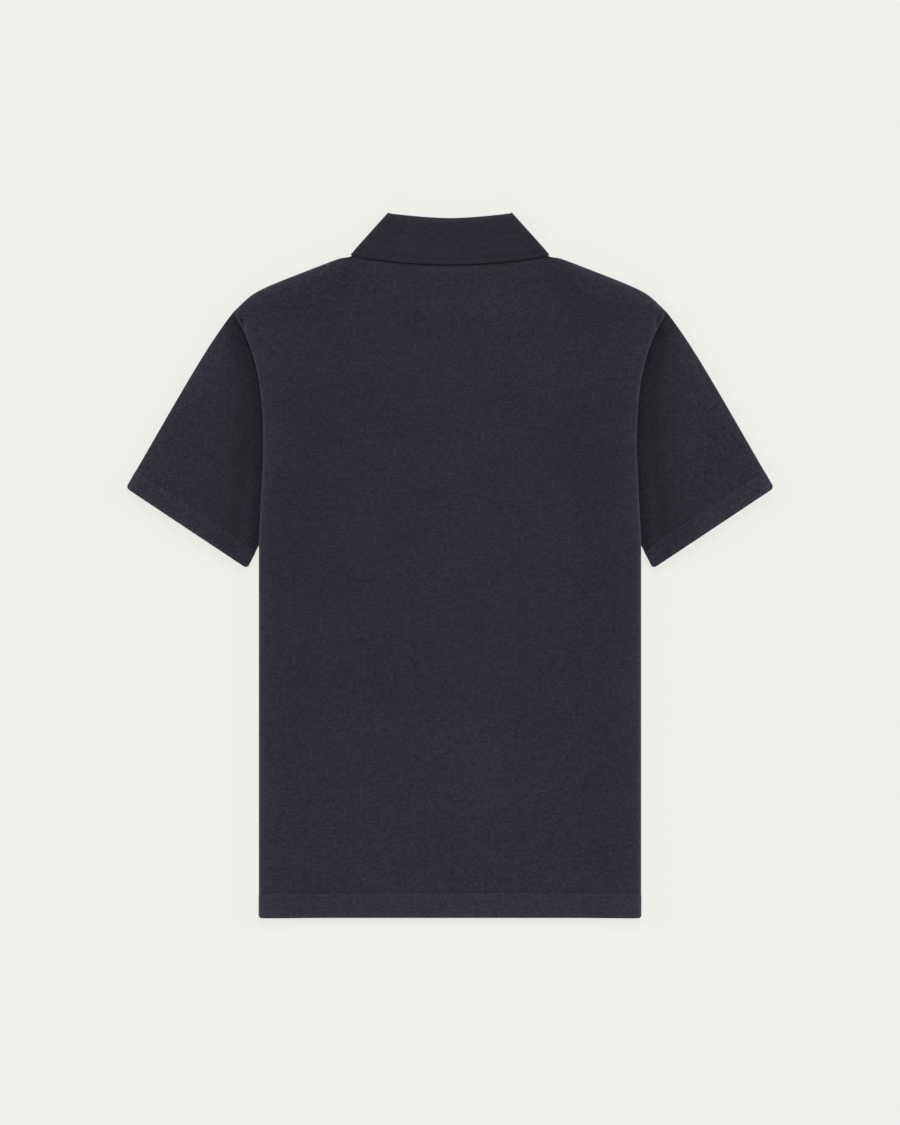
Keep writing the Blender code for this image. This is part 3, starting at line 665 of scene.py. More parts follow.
@dataclass(frozen=True)
class Finishes:
    """The materials of the shirt, each made once."""

    jersey: Material = field(default_factory=JERSEY.material)
    sleeve: Material = field(default_factory=SLEEVE_JERSEY.material)
    collar: Material = field(default_factory=COLLAR_KNIT.material)
    thread: Material = field(default_factory=Yarn().material)
    button: Material = field(default_factory=Resin().material)


# ---- The shirt's cut and how it lies ----


@dataclass(frozen=True)
class Cut:
    """Plan of the laid shirt: its edges, seams and folds, right half."""

    cloth: float = 1.2 * MM
    hem_cloth: float = 1.8 * MM
    placket_cloth: float = 1.0 * MM
    gap: float = 0.3 * MM
    seam_shift: float = 0.15 * MM
    half_width: float = 204.5 * MM
    hem_y: float = -377.4 * MM
    hem_band: float = 26.0 * MM
    hem_corner: float = 2.2 * MM
    underarm_y: float = 20.5 * MM
    shoulder_tip: Pair = mm(232.5, 270.0)
    neck_point: Pair = mm(78.0, 344.0)
    neck_end_x: float = 112.0 * MM  # the collar covers the shoulder's edge up to here
    back_neck_y: float = 335.5 * MM
    front_neck_y: float = 262.0 * MM
    front_neck_handles: tuple[Pair, Pair] = (mm(46.0, 262.0), mm(72.0, 298.0))
    shoulder_handles: tuple[Pair, Pair] = (mm(222.5, 287.5), mm(202.0, 299.0))
    shoulder_dip: float = 2.8 * MM  # how far its edge ducks under the collar's corner
    dip_place: Pair = mm(105.0, 8.0)  # middle and reach of that dip, along X
    armhole_handles: tuple[Pair, Pair] = (mm(201.0, 111.0), mm(186.6, 203.3))
    cuff_outer: Pair = mm(346.6, 82.6)
    cuff_inner: Pair = mm(217.3, -3.5)
    cuff_band: float = 21.0 * MM
    cuff_corner: float = 3.2 * MM
    sleeve_handles: tuple[Pair, Pair] = (mm(260.0, 234.0), mm(277.0, 203.5))
    placket_half_width: float = 16.0 * MM
    placket_share: float = 0.39

    @property
    def cuff_width(self) -> float:
        """Width of the flat cuff, from its outer fold to its inner one."""
        return float(np.hypot(*np.subtract(self.cuff_inner, self.cuff_outer)))

    @property
    def rim_y(self) -> float:
        """Y of the middle of the wall at the shoulder tip."""
        return self.shoulder_tip[1] - 0.5 * self.cloth

    @property
    def arm_length(self) -> float:
        """Length of the sleeve's armhole edge along Y, from its outer fold to the underarm."""
        return self.rim_y - self.underarm_y - 0.5 * self.cloth

    @property
    def shoulder_line(self) -> tuple[Pair, ...]:
        """The shoulder's curve, from the neck point to the shoulder tip."""
        return (self.neck_point, *self.shoulder_handles, self.shoulder_tip)

    @property
    def armhole(self) -> tuple[Pair, ...]:
        """The armhole's curve, from the underarm to the shoulder tip."""
        return ((self.half_width, self.underarm_y), *self.armhole_handles, self.shoulder_tip)

    @property
    def sleeve_edge(self) -> tuple[Pair, ...]:
        """The sleeve's outer edge, from the shoulder tip to the cuff."""
        return (self.shoulder_tip, *self.sleeve_handles, self.cuff_outer)

    def back_neckline(self, x: Array) -> Array:
        """Y of the back neckline: a shallow parabola between the neck points."""
        rise = self.neck_point[1] - self.back_neck_y
        return self.back_neck_y + rise * (x / self.neck_point[0]) ** 2

    def front_neckline(self, x: Array) -> Array:
        """Y of the front neckline: level across the placket, then a round to the neck point."""
        start = (self.placket_half_width, self.front_neck_y)
        curve = (start, *self.front_neck_handles, self.neck_point)
        return read_curve(curve, np.maximum(np.abs(x), self.placket_half_width), axis=0)

    def in_armhole_plane(self, normals: Array, y: Array, side: float) -> Array:
        """Normals along an armhole, turned so that the wall ends square to the seam.

        Args:
            normals: The normals at places along the armhole.
            y: Y of these places.
            side: 1 on the right and -1 on the left.

        Returns:
            The normals without their part across the seam, scaled to length 1.
        """
        low, high = np.maximum(y - MM, self.underarm_y), np.minimum(y + MM, self.shoulder_tip[1])
        run = read_curve(self.armhole, high, axis=1) - read_curve(self.armhole, low, axis=1)
        away = unit(np.stack([side * (high - low), -run], axis=1))
        turned = normals.copy()
        turned[:, :2] -= np.sum(normals[:, :2] * away, axis=1, keepdims=True) * away
        return unit(turned)


@dataclass(frozen=True)
class Crease:
    """A soft ridge or trough along a straight line, uneven at its two sides, in millimetres.

    Across it the height is a bell curve, wider on one side by `lean`, and along it the height
    falls off as (1 - s^2)^2, where s is the share of half its length.
    """

    x: float  # of its middle
    y: float
    length: float
    width: float  # half width
    turn: float  # angle of its line from the X axis, in degrees
    rise: float  # below 0 for a trough
    lean: float = 0.0  # how much wider it is on its left side than on its right, as a share

    def height(self, x: Array, y: Array) -> Array:
        """Height of the crease at these places, in metres."""
        turn = radians(self.turn)
        along = (x / MM - self.x) * cos(turn) + (y / MM - self.y) * sin(turn)
        across = (y / MM - self.y) * cos(turn) - (x / MM - self.x) * sin(turn)
        width = self.width * (1.0 + self.lean * np.tanh(across / self.width))
        ends = np.clip(1.0 - np.square(2.0 * along / self.length), 0.0, 1.0) ** 2
        return self.rise * MM * ends * bump(across / width)


def relief(rows: tuple[Crease, ...], x: Array, y: Array) -> Array:
    """Height of all the creases together at these places."""
    return sum((crease.height(x, y) for crease in rows), np.zeros_like(x))


def creases(*rows: tuple[float, ...]) -> tuple[Crease, ...]:
    """Creases from rows of x, y, length, width, turn, rise and, where they lean, lean."""
    return tuple(Crease(*row) for row in rows)


BACK_CREASES = creases(
    (36, -230, 300, 34, 86, 0.55, 0.3),
    (-14, -285, 150, 20, 78, -0.35, -0.2),
    (-150, -250, 170, 26, 74, -0.45, 0.2),
    (-186, -180, 120, 13, 82, 0.30),
    (146, -252, 190, 24, 101, -0.50, -0.2),
    (176, -120, 150, 16, 96, 0.28),
    (-62, -140, 190, 30, 112, -0.35, 0.3),
    (18, 20, 330, 32, 97, 0.40, -0.2),
    (-88, 204, 90, 9, 128, 0.38, 0.2),
    (-112, 188, 110, 12, 122, -0.30),
    (112, 222, 100, 10, 47, 0.36, -0.2),
    (132, 196, 120, 13, 52, -0.28),
    (-140, 96, 190, 34, 80, -0.40, 0.2),
    (140, 100, 200, 34, 99, -0.42, -0.2),
    (-30, 120, 120, 18, 70, -0.22),
    (60, 270, 80, 14, 20, 0.20),
    (-46, 262, 90, 12, 163, -0.20),
)
# Short notches in the back beside its shoulder tips, each with a small ridge inside it
NOTCH_CREASES = creases(
    (-220.8, 258.8, 26, 2.2, 99, -1.8),
    (-216.9, 254.6, 18, 1.7, 93, 1.2),
    (220.9, 259.6, 24, 2.2, 81, -1.7),
    (216.3, 255.6, 19, 1.7, 88, 1.2),
)
# Creases of the front, which is hidden: they keep to its free part, between the sides
FRONT_CREASES = creases(
    (-70, -200, 260, 30, 84, 0.35, 0.2),
    (64, -150, 240, 26, 98, 0.30, -0.2),
    (120, 60, 170, 22, 60, 0.30),
    (-126, 70, 180, 22, 118, 0.32),
    (6, -300, 140, 18, 12, 0.22),
)
# Creases of a right sleeve; the left one's are its mirror image with a shift
SLEEVE_CREASES = creases(
    (262, 96, 110, 9, 62, 0.55, 0.2),
    (242, 70, 100, 7, 74, 0.40),
    (286, 130, 90, 12, 48, -0.40),
    (255, 170, 110, 12, 108, 0.35, 0.2),
    (306, 96, 70, 8, 40, 0.30),
)


@dataclass(frozen=True)
class Lay:
    """Heights at which the layers lie, each of the middle of a wall unless it says otherwise,
    and how far each soft form reaches in plan."""

    seam: float = 2.85 * MM
    rim_gap: float = 0.4 * MM  # between the front's and the back's rims
    leaf_lift: float = 1.5 * MM  # of the front's underside, over the collar's leaves
    button_lift: float = 2.3 * MM  # of the front's underside, over placket and buttons
    back: float = 2.6 * MM
    collar_back: float = 3.6 * MM  # the back under the collar
    leaf_back_rise: float = 1.8 * MM
    placket_back_rise: float = 3.3 * MM
    side_bulge: float = 3.6 * MM
    armhole_bulge: float = 5.6 * MM
    edge_fall: float = 2.4 * MM  # how far a panel falls from its bulge to its rolled edge
    edge_reach: float = 10.0 * MM
    armhole: float = 3.5 * MM
    sleeve_start: float = 2.0 * MM
    sleeve_high: float = 5.4 * MM
    sleeve_low: float = 3.3 * MM
    side_roll: float = 2.6 * MM
    shoulder_roll: float = 2.4 * MM
    bulge_reach: float = 62.0 * MM
    # The side's bulge becomes the armhole's from this far below the underarm, over this stretch
    bulge_change: Pair = mm(50.0, 90.0)
    leaf_margin: float = 30.0 * MM
    leaf_reach: float = 35.0 * MM
    placket_reach: float = 60.0 * MM
    front_lift_ends: Triple = mm(125.0, 254.0, 9.0)
    back_lift_ends: Triple = mm(95.0, 265.0, 50.0)
    collar_bed: Triple = mm(112.0, 293.0, 25.0)
    valley_reach: Pair = mm(26.0, 70.0)  # at the shoulder tip and at the underarm
    sleeve_reach: float = 110.0 * MM
    fold_reach: float = 45.0 * MM
    armhole_rise: float = 20.0 * MM  # its edge rises over this stretch above the underarm
    rim_lights: tuple[Pair, Pair] = ((0.15, 6.0 * MM), (0.06, 20.0 * MM))  # painted highlight by folds and seams: paler, and reach
    # How much paler the body is towards its hem, and the y where that starts and where it is full
    low_paler: float = 0.06
    low_paler_span: Pair = mm(-110.0, -240.0)
    seam_lights: Pair = (0.18, 0.10)  # painted highlight on the back's rim: along the side seam and along the armhole
    seam_light_reach: Pair = mm(9.0, 11.0)  # how far from each of them that reaches
    seam_light_span: Pair = mm(60.0, 180.0)  # y between which the one becomes the other

    def leaf_rise(self, x: Array, y: Array) -> Array:
        """1 above the collar's front leaves and the neck, fading to 0 past a margin.

        The distance beyond is measured from the line through the leaf's point and its corner,
        and below the point.
        """
        start, end = COLLAR.point, COLLAR.edge_corner
        along = np.subtract(end, start) / np.hypot(*np.subtract(end, start))
        beyond = (np.abs(x) - start[0]) * along[1] - (y - start[1]) * along[0]
        beyond = np.maximum(beyond, start[1] - y)
        return smooth_step(1.0 - (beyond - self.leaf_margin) / self.leaf_reach)

    def placket_rise(self, x: Array, y: Array, ends: Triple) -> Array:
        """1 above the placket, fading to 0 beside it, below its lower end and, over its upper
        fade, above its upper end; `ends` holds these two places and that fade."""
        low, high, fade = ends
        beside = np.maximum(np.abs(x) - CUT.placket_half_width, low - y) / self.placket_reach
        return smooth_step(1.0 - np.maximum(beside, (y - high) / fade))

    def front_underside(self, x: Array, y: Array) -> Array:
        """Height of the front's underside: the larger of what the leaves and the placket need."""
        over_placket = self.button_lift * self.placket_rise(x, y, self.front_lift_ends)
        return np.maximum(self.leaf_lift * self.leaf_rise(x, y), over_placket)

    def back_rise(self, x: Array, y: Array, inside: Array) -> Array:
        """How far the back lies above its plain height.

        Args:
            x: Places across the shirt.
            y: Places along the shirt.
            inside: Distance of each place from the nearest fold or seam at the side.

        Returns:
            The rise over leaves, placket and springy edges, brought to the collar's bed there.
        """
        below, change = self.bulge_change
        upper = smooth_step((y - CUT.underarm_y + below) / change)
        edge = between(self.side_bulge, self.armhole_bulge, upper)
        bulge = edge * smooth_step(1.0 - (inside - self.edge_reach) / self.bulge_reach)
        bulge = bulge - self.fall(inside)
        over_leaves = self.leaf_back_rise * self.leaf_rise(x, y)
        over_placket = self.placket_back_rise * self.placket_rise(x, y, self.back_lift_ends)
        free = larger(larger(over_leaves, over_placket), bulge)
        half_width, low, fade = self.collar_bed
        bed = smooth_step(1.0 - np.maximum(np.abs(x) - half_width, low - y) / fade)
        return free + (self.collar_back - self.back - free) * bed

    def fall(self, inside: Array) -> Array:
        """How far cloth falls towards a springy edge: a parabola over the edge's reach."""
        return self.edge_fall * np.clip(1.0 - inside / self.edge_reach, 0.0, 1.0) ** 2

    def rim_highlight(self, inside: Array) -> Array:
        """Painted highlight: how much paler cloth is by a fold or seam, where its round catches the
        light, by the distance from it.
        """
        return sum(paler * bump(inside / reach) for paler, reach in self.rim_lights)

    def seam_highlight(self, inside: Array, y: Array) -> Array:
        """Painted highlight: how much paler still the back's rim is, over a wider stretch along the
        armhole.
        """
        start, end = self.seam_light_span
        upper = smooth_step((y - start) / (end - start))
        paler, reach = (between(*ends, upper) for ends in (self.seam_lights, self.seam_light_reach))
        return paler * bump(inside / reach)

    def paler_low(self, y: Array) -> Array:
        """How much paler the body is towards its hem."""
        start, end = self.low_paler_span
        return self.low_paler * smooth_step((y - start) / (end - start))

    def armhole_height(self, y: Array) -> Array:
        """Height of the back's edge along the armhole, which rises from the side seam's."""
        rise = smooth_step((y - CUT.underarm_y) / self.armhole_rise)
        return between(self.seam, self.armhole, rise)


@dataclass(frozen=True)
class CollarCut:
    """Plan of the collar, right half, and the radii of its folds."""

    fold_corner: Pair = mm(67.0, 377.4)
    fold_middle_y: float = 371.3 * MM
    edge_corner: Pair = mm(106.8, 332.4)
    fold_power: float = 1.6  # the fold's y rises from its middle as this power of x
    edge_middle_y: float = 321.3 * MM
    point: Pair = mm(50.0, 233.0)
    front_fold_y: float = 288.0 * MM
    front_fold_handles: tuple[Pair, Pair] = (mm(62.0, 338.0), mm(34.0, 292.0))
    end_x: float = 2.5 * MM
    outwards: Pair = (0.82, 0.572)
    fold_radius: float = 0.75 * MM
    stand_radius: float = 0.75 * MM

    @property
    def fall_radius(self) -> float:
        """Radius of the fall's middle round the side of the neck."""
        return self.stand_radius + 2.0 * self.fold_radius


CUT = Cut()
COLLAR = CollarCut()
LAY = Lay()


@dataclass(frozen=True)
class Hem:
    """A turned hem with two rows of stitches, seen across its band."""

    band: float  # depth of the doubled cloth
    rows: Pair  # distance of each row of stitches from the folded edge
    groove: float = 0.23 * MM  # how deep the stitches draw the cloth in
    weights: Pair = (0.9, 0.35)  # each row's share of that depth
    stitch_shade: float = 0.07  # painted shade: how much darker the cloth is in the second row's groove
    paler: float = 0.225  # how much paler the doubled band is
    worn: float = 0.28  # painted highlight: how much paler still its rounded folded edge is
    shade: float = 0.09  # painted shade: how much darker the cloth is just beyond the band, at the foot of its step
    waver: float = 1.0 * MM  # how far the band's upper edge wavers up and down
    waver_reach: float = 9.0 * MM
    step: Pair = mm(1.2, 1.8)  # the doubled cloth ends from this far before it, over this stretch
    groove_wide: float = 0.75 * MM
    pucker: Pair = mm(0.12, 4.0)  # height between the rows, and half width across the band
    edge_left: float = 0.22  # share of the wall's thickness left right at the folded edge
    highlight_wide: float = 4.0 * MM
    shade_place: Pair = mm(1.5, 2.0)  # middle beyond the band, and half width
    stitch_shade_place: Pair = mm(-0.6, 2.2)  # the same, from the second row
    uneven: Triple = (0.35, 0.05, 0.9)  # of the grooves, of the band's tone and of the shade

    def drawn_up(self, along: Array) -> Array:
        """How far the stitches draw the band's upper edge down, unevenly along the hem."""
        return self.waver * uneven_wave(along, 29.0 * MM, 53.0 * MM, 117.0 * MM)

    def wavered(self, distance: Array, along: Array) -> Array:
        """The distance from the edge, changed near the band's upper edge so that it wavers."""
        return distance + self.drawn_up(along) * hill(distance, self.band, self.waver_reach)

    def doubled(self, distance: Array) -> Array:
        """1 on the band and 0 beyond it, over a short step, by the distance from the edge."""
        before, length = self.step
        return 1.0 - smooth_step((distance - self.band + before) / length)

    def wall(self, distance: Array) -> Array:
        """The wall's full thickness: the hem's on the band and the cloth's beyond it."""
        return between(CUT.cloth, CUT.hem_cloth, self.doubled(distance))

    def thickness(self, distance: Array) -> Array:
        """The wall's thickness, rounded off at the folded edge by a quarter ellipse."""
        rounded = quarter_ellipse(distance, 0.5 * CUT.hem_cloth)
        return self.wall(distance) * np.maximum(rounded, self.edge_left)

    def drawn_in(self, distance: Array, along: Array) -> Array:
        """Relief of the stitched face: a groove at each row of stitches, deeper and shallower
        along it, with small puckers between the rows."""
        wave = uneven_wave(along, 7.3 * MM, 11.9 * MM, 19.0 * MM)
        rows = zip(self.rows, self.weights)
        grooves = sum(weight * hill(distance, row, self.groove_wide) for row, weight in rows)
        height, wide = self.pucker
        puckers = hill(distance, sum(self.rows) / len(self.rows), wide) * wave
        return -self.groove * grooves * (1.0 + self.uneven[0] * wave) + height * puckers

    def tone(self, distance: Array, along: Array) -> Array:
        """How pale the cloth is, by the distance from the edge and the place along it: paler on
        the band, with a painted highlight at its folded edge, painted shade by the second row, and
        unevenly painted shade just beyond its upper edge."""
        wave = uneven_wave(along, 17.0 * MM, 31.0 * MM, 47.0 * MM)
        _, band_uneven, shade_uneven = self.uneven
        # Painted shade beyond the band and by the second row, painted highlight at the folded edge
        seam = hill(distance - self.band, *self.shade_place)
        worn = self.worn * bump(distance / self.highlight_wide)
        band = (self.paler + band_uneven * wave) * self.doubled(distance)
        stitch_shade = self.stitch_shade * hill(distance - self.rows[1], *self.stitch_shade_place)
        return 1.0 + band + worn - stitch_shade - self.shade * (1.0 + shade_uneven * wave) * seam


BODY_HEM = Hem(band=CUT.hem_band, rows=(CUT.hem_band - 1.2 * MM, CUT.hem_band - 4.4 * MM))
CUFF_HEM = Hem(
    band=CUT.cuff_band,
    rows=(CUT.cuff_band - 1.2 * MM, CUT.cuff_band - 4.4 * MM),
    groove=0.19 * MM,
    worn=0.36,
    stitch_shade=0.02,
    shade=0.0,
)


# ---- Body panels ----


class PanelGrid:
    """The plan of a body panel as a grid.

    Rows run from the hem to the top and columns from left to right.  Below the underarm the
    panel is straight.  Above it each row is as wide as the armhole is apart there, with the
    columns outside the neck spread by a square law, and each column runs up to the neckline or
    the shoulder line.
    """

    fine_x: float = 180.0 * MM  # the columns are closer together beyond this x
    # The shoulder's round begins at this x, and is full after this stretch
    roll: Pair = mm(106.0, 14.0)
    corner_fade: float = 12.0 * MM  # the hem's corners are round up to this height over the hem
    slot_rows: int = 33  # number of rows from the underarm to the slot

    def __init__(self, neckline: Callable[[Array], Array]) -> None:
        """Work out the grid from the cut and the neckline, its y at a given x."""
        edge = CUT.half_width - 0.5 * CUT.cloth
        inset, share = quarter_round(LAY.side_roll - 0.5 * CUT.cloth)
        slot, neck = CUT.placket_half_width, CUT.neck_point[0]
        inner = edge - inset[-1]
        fine = self.fine_x
        flat = spaced((0.0, slot, 5), (slot, neck, 19), (neck, fine, 30), (fine, inner, 28))
        half = np.concatenate([flat, edge - inset[-2::-1]])
        share = np.concatenate([np.ones(len(flat)), share[-2::-1]])

        rim, band, above = mm(1.2, 19.0, 27.5)
        plain = (above, CUT.underarm_y - CUT.hem_y, 112)
        low = spaced((0.0, rim, 4), (rim, band, 6), (band, above, 17), plain)[:-1]
        inset, top_share = quarter_round(LAY.shoulder_roll)
        first, slot = 0.004, CUT.placket_share
        ways = spaced((0.0, first, 1), (first, slot, self.slot_rows - 1), (slot, 1.0, 50))
        arm_y = CUT.underarm_y + ways * (CUT.rim_y - inset[-1] - CUT.underarm_y)
        arm_y = np.concatenate([arm_y, CUT.rim_y - inset[-2::-1]])
        widths = np.full(len(low) + len(arm_y), edge)
        widths[len(low) + 1 :] = read_curve(CUT.armhole, arm_y[1:], axis=1)
        spread = np.clip((half - neck) / (edge - neck), 0.0, 1.0) ** 2
        x = half + (widths[:, None] - edge) * spread

        rolled = eased(half, *self.roll)
        shoulder = read_curve(CUT.shoulder_line, x[-1], axis=0)
        shoulder -= CUT.shoulder_dip * hill(half, *CUT.dip_place)
        shoulder[-1] = CUT.shoulder_tip[1]
        top = np.where(half <= neck + 1e-6, neckline(half), shoulder - 0.5 * CUT.cloth * rolled)
        rising = CUT.underarm_y + np.outer(ways, top - inset[-1] - CUT.underarm_y)
        corner = CUT.hem_corner * (1.0 - quarter_ellipse(edge - half, CUT.hem_corner))
        near_hem = smooth_step(1.0 - low / self.corner_fade)
        low_y = CUT.hem_y + low[:, None] + corner * near_hem[:, None]
        y = np.concatenate([low_y, rising, top - inset[-2::-1, None]])

        row_share = np.ones(len(widths))
        row_share[-len(inset) :] = top_share[::-1]
        self.x = np.concatenate([-x[:, :0:-1], x], axis=1)
        self.y = np.concatenate([y[:, :0:-1], y], axis=1)
        self.side_share, rolled = mirrored(share), mirrored(rolled)
        self.top_share = 1.0 - (1.0 - row_share[:, None]) * rolled
        self.from_hem = np.concatenate([low, np.full(len(arm_y), 1.0)])[:, None]
        self.on_armhole = np.arange(len(widths)) > len(low)
        self.slot_row = len(low) + self.slot_rows

    def inside(self) -> Array:
        """Distance from the nearer side of the same row, and from the rolled shoulder."""
        widths = np.abs(self.x[:, -1:])
        far = np.where(np.abs(self.x[-1]) < CUT.neck_end_x, 1.0, 0.0)
        return np.minimum(widths - np.abs(self.x), self.y[-1] - self.y + far)

    def middle(self, free: Array, seam: float, armhole: Array) -> Array:
        """Middle surface of the panel.

        Args:
            free: Height of the panel away from its edges.
            seam: Height of its rolled rim.
            armhole: Height of its edge along the armhole.

        Returns:
            The grid of points, brought down to the rims by a quarter ellipse.
        """
        rim = np.where(self.on_armhole[:, None], armhole, seam)
        z = between(rim, free, self.side_share)
        z = between(seam, z, self.top_share)
        return np.stack([self.x, self.y, z], axis=2)

    def normals(self, middle: Array) -> Array:
        """Normals of the panel, in the plane of the seam along the armholes."""
        normals = grid_normals(middle)
        normals[-1, [0, -1]] = normals[-1, [1, -2]]
        seam = self.on_armhole
        for column, side in ((0, -1.0), (-1, 1.0)):
            turned = CUT.in_armhole_plane(normals[seam, column], middle[seam, column, 1], side)
            normals[seam, column] = turned
        return normals

    def armhole_taper(self) -> Array:
        """Share of the wall's thickness that rounds its edge along the armhole."""
        rim = np.abs(self.x[:, -1:]) - np.abs(self.x)
        taper = np.maximum(quarter_ellipse(rim, 0.5 * CUT.cloth), 0.3)
        return np.where(self.on_armhole[:, None], taper, 1.0)

    def chart(self, middle: Array, shift: Pair) -> Array:
        """Knit coordinates: lengths along each row of the panel, out from its middle, and its
        y, moved, so that each panel has its own grain."""
        across = row_lengths(middle[..., [0, 2]])
        across -= across[:, across.shape[1] // 2, None]
        return np.stack([across + shift[0], self.y + shift[1]], axis=2)

    def hem_routes(self, shell: Shell, side: float) -> list[Route]:
        """Lines for the two rows of stitches on the hem.

        Args:
            shell: The panel's shell.
            side: 1 for the upper face and -1 for the lower one.

        Returns:
            Each row's points and outward normals.
        """
        count = self.x.shape[1]
        columns = np.linspace(1.0, count - 2.0, 400)
        across = np.interp(columns, np.arange(count), self.x[0])
        waver = BODY_HEM.drawn_up(across) if side > 0 else np.zeros_like(across)
        levels = self.from_hem[self.from_hem < 1.0]
        routes = []
        for distance in BODY_HEM.rows:
            rows = np.interp(distance - waver, levels, np.arange(len(levels)))
            routes.append(shell.route(rows, columns, side))
        return routes


class Panel:
    """A body panel: one piece from the hem to the neck, round at its sides and shoulders."""

    node: str  # its name in the CAD
    side: float  # 1 where its outer face lies upwards, and -1 where it lies downwards
    rests_on: tuple[str, ...] = ()  # the pieces that it lies on
    flat: Pair = (0.466, 0.747)  # width and length of its cut
    grid: PanelGrid  # its plan
    shell: Shell  # its wall of cloth

    def build(self, finishes: Finishes) -> None:
        """Add the panel and its hem's stitches."""
        piece = add_piece(self.shell.mesh(self.node + "_panel"), finishes.jersey)
        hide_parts(self.node)
        routes = self.grid.hem_routes(self.shell, self.side)
        stitches = Thread().sew(self.node + "_hem_stitches", routes, finishes.thread)


class BackPanel(Panel):
    """The back, which lies on the front."""

    node = "back"
    side = 1.0
    rests_on = ("front_panel",)
    settle: Pair = mm(2.0, 16.0)  # creases start this far in, and are full after this
    hem_rise: float = 0.05 * MM  # how far the doubled hem stands up besides

    def __init__(self) -> None:
        """Work out the panel's shell."""
        grid = PanelGrid(CUT.back_neckline)
        from_hem = BODY_HEM.wavered(grid.from_hem, grid.x)
        inside = grid.inside()
        raised = relief(BACK_CREASES, grid.x, grid.y) * eased(inside, *self.settle)
        raised = raised + relief(NOTCH_CREASES, grid.x, grid.y)
        free = LAY.back + LAY.back_rise(grid.x, grid.y, inside) + raised
        doubled = BODY_HEM.doubled(from_hem)
        free = free + 0.5 * (BODY_HEM.wall(from_hem) - CUT.cloth) + self.hem_rise * doubled
        seam = LAY.seam + 0.5 * LAY.rim_gap
        middle = grid.middle(free, seam, LAY.armhole_height(grid.y))
        # Painted shade and highlight of the creases, and painted highlights by the rims and seams
        tone = BODY_HEM.tone(from_hem, grid.x) + LAY.paler_low(grid.y) + CREASE_SHADING * raised
        self.grid = grid
        self.shell = Shell(
            middle=middle,
            normals=grid.normals(middle),
            thickness=BODY_HEM.thickness(from_hem) * grid.armhole_taper(),
            chart=grid.chart(middle, (0.5, 0.5)),
            tone=tone + (LAY.rim_highlight(inside) + LAY.seam_highlight(inside, grid.y)),
            upper_relief=BODY_HEM.drawn_in(from_hem, grid.x),
        )


class FrontPanel(Panel):
    """The front: it lies on the surface, turns up at its sides and shoulders, and has a slot
    for the placket."""

    node = "front"
    side = -1.0
    settle: Pair = mm(25.0, 30.0)  # creases start this far in, and are full after this
    pucker_shift: float = 0.1  # along the hem, so that its puckers aren't the back's

    def __init__(self) -> None:
        """Work out the panel's shell."""
        grid = PanelGrid(CUT.front_neckline)
        from_hem = grid.from_hem
        inside = grid.inside()
        away = eased(inside, *self.settle)
        away = away * (1.0 - LAY.placket_rise(grid.x, grid.y, LAY.back_lift_ends))
        lifted = relief(FRONT_CREASES, grid.x, grid.y) * away
        free = LAY.front_underside(grid.x, grid.y) + 0.5 * BODY_HEM.wall(from_hem) + lifted
        middle = grid.middle(free, LAY.seam - 0.5 * LAY.rim_gap, free)
        kept = np.ones((grid.x.shape[0] - 1, grid.x.shape[1] - 1), bool)
        across = 0.5 * np.abs(grid.x[0, 1:] + grid.x[0, :-1])
        kept[grid.slot_row :, across < CUT.placket_half_width] = False
        # Painted highlights by the rims, and paler towards the hem
        tone = BODY_HEM.tone(from_hem, grid.x) + LAY.rim_highlight(inside)
        self.grid = grid
        self.shell = Shell(
            middle=middle,
            normals=grid.normals(middle),
            thickness=np.broadcast_to(BODY_HEM.thickness(from_hem), grid.x.shape),
            chart=grid.chart(middle, (1.5, 0.5)),
            tone=tone + LAY.paler_low(grid.y),
            lower_relief=BODY_HEM.drawn_in(from_hem, grid.x + self.pucker_shift),
            kept=kept,
        )


# ---- Sleeves ----


class Side(Enum):
    """A side of the shirt as it lies, with the sign of its x."""

    RIGHT = 1.0
    LEFT = -1.0


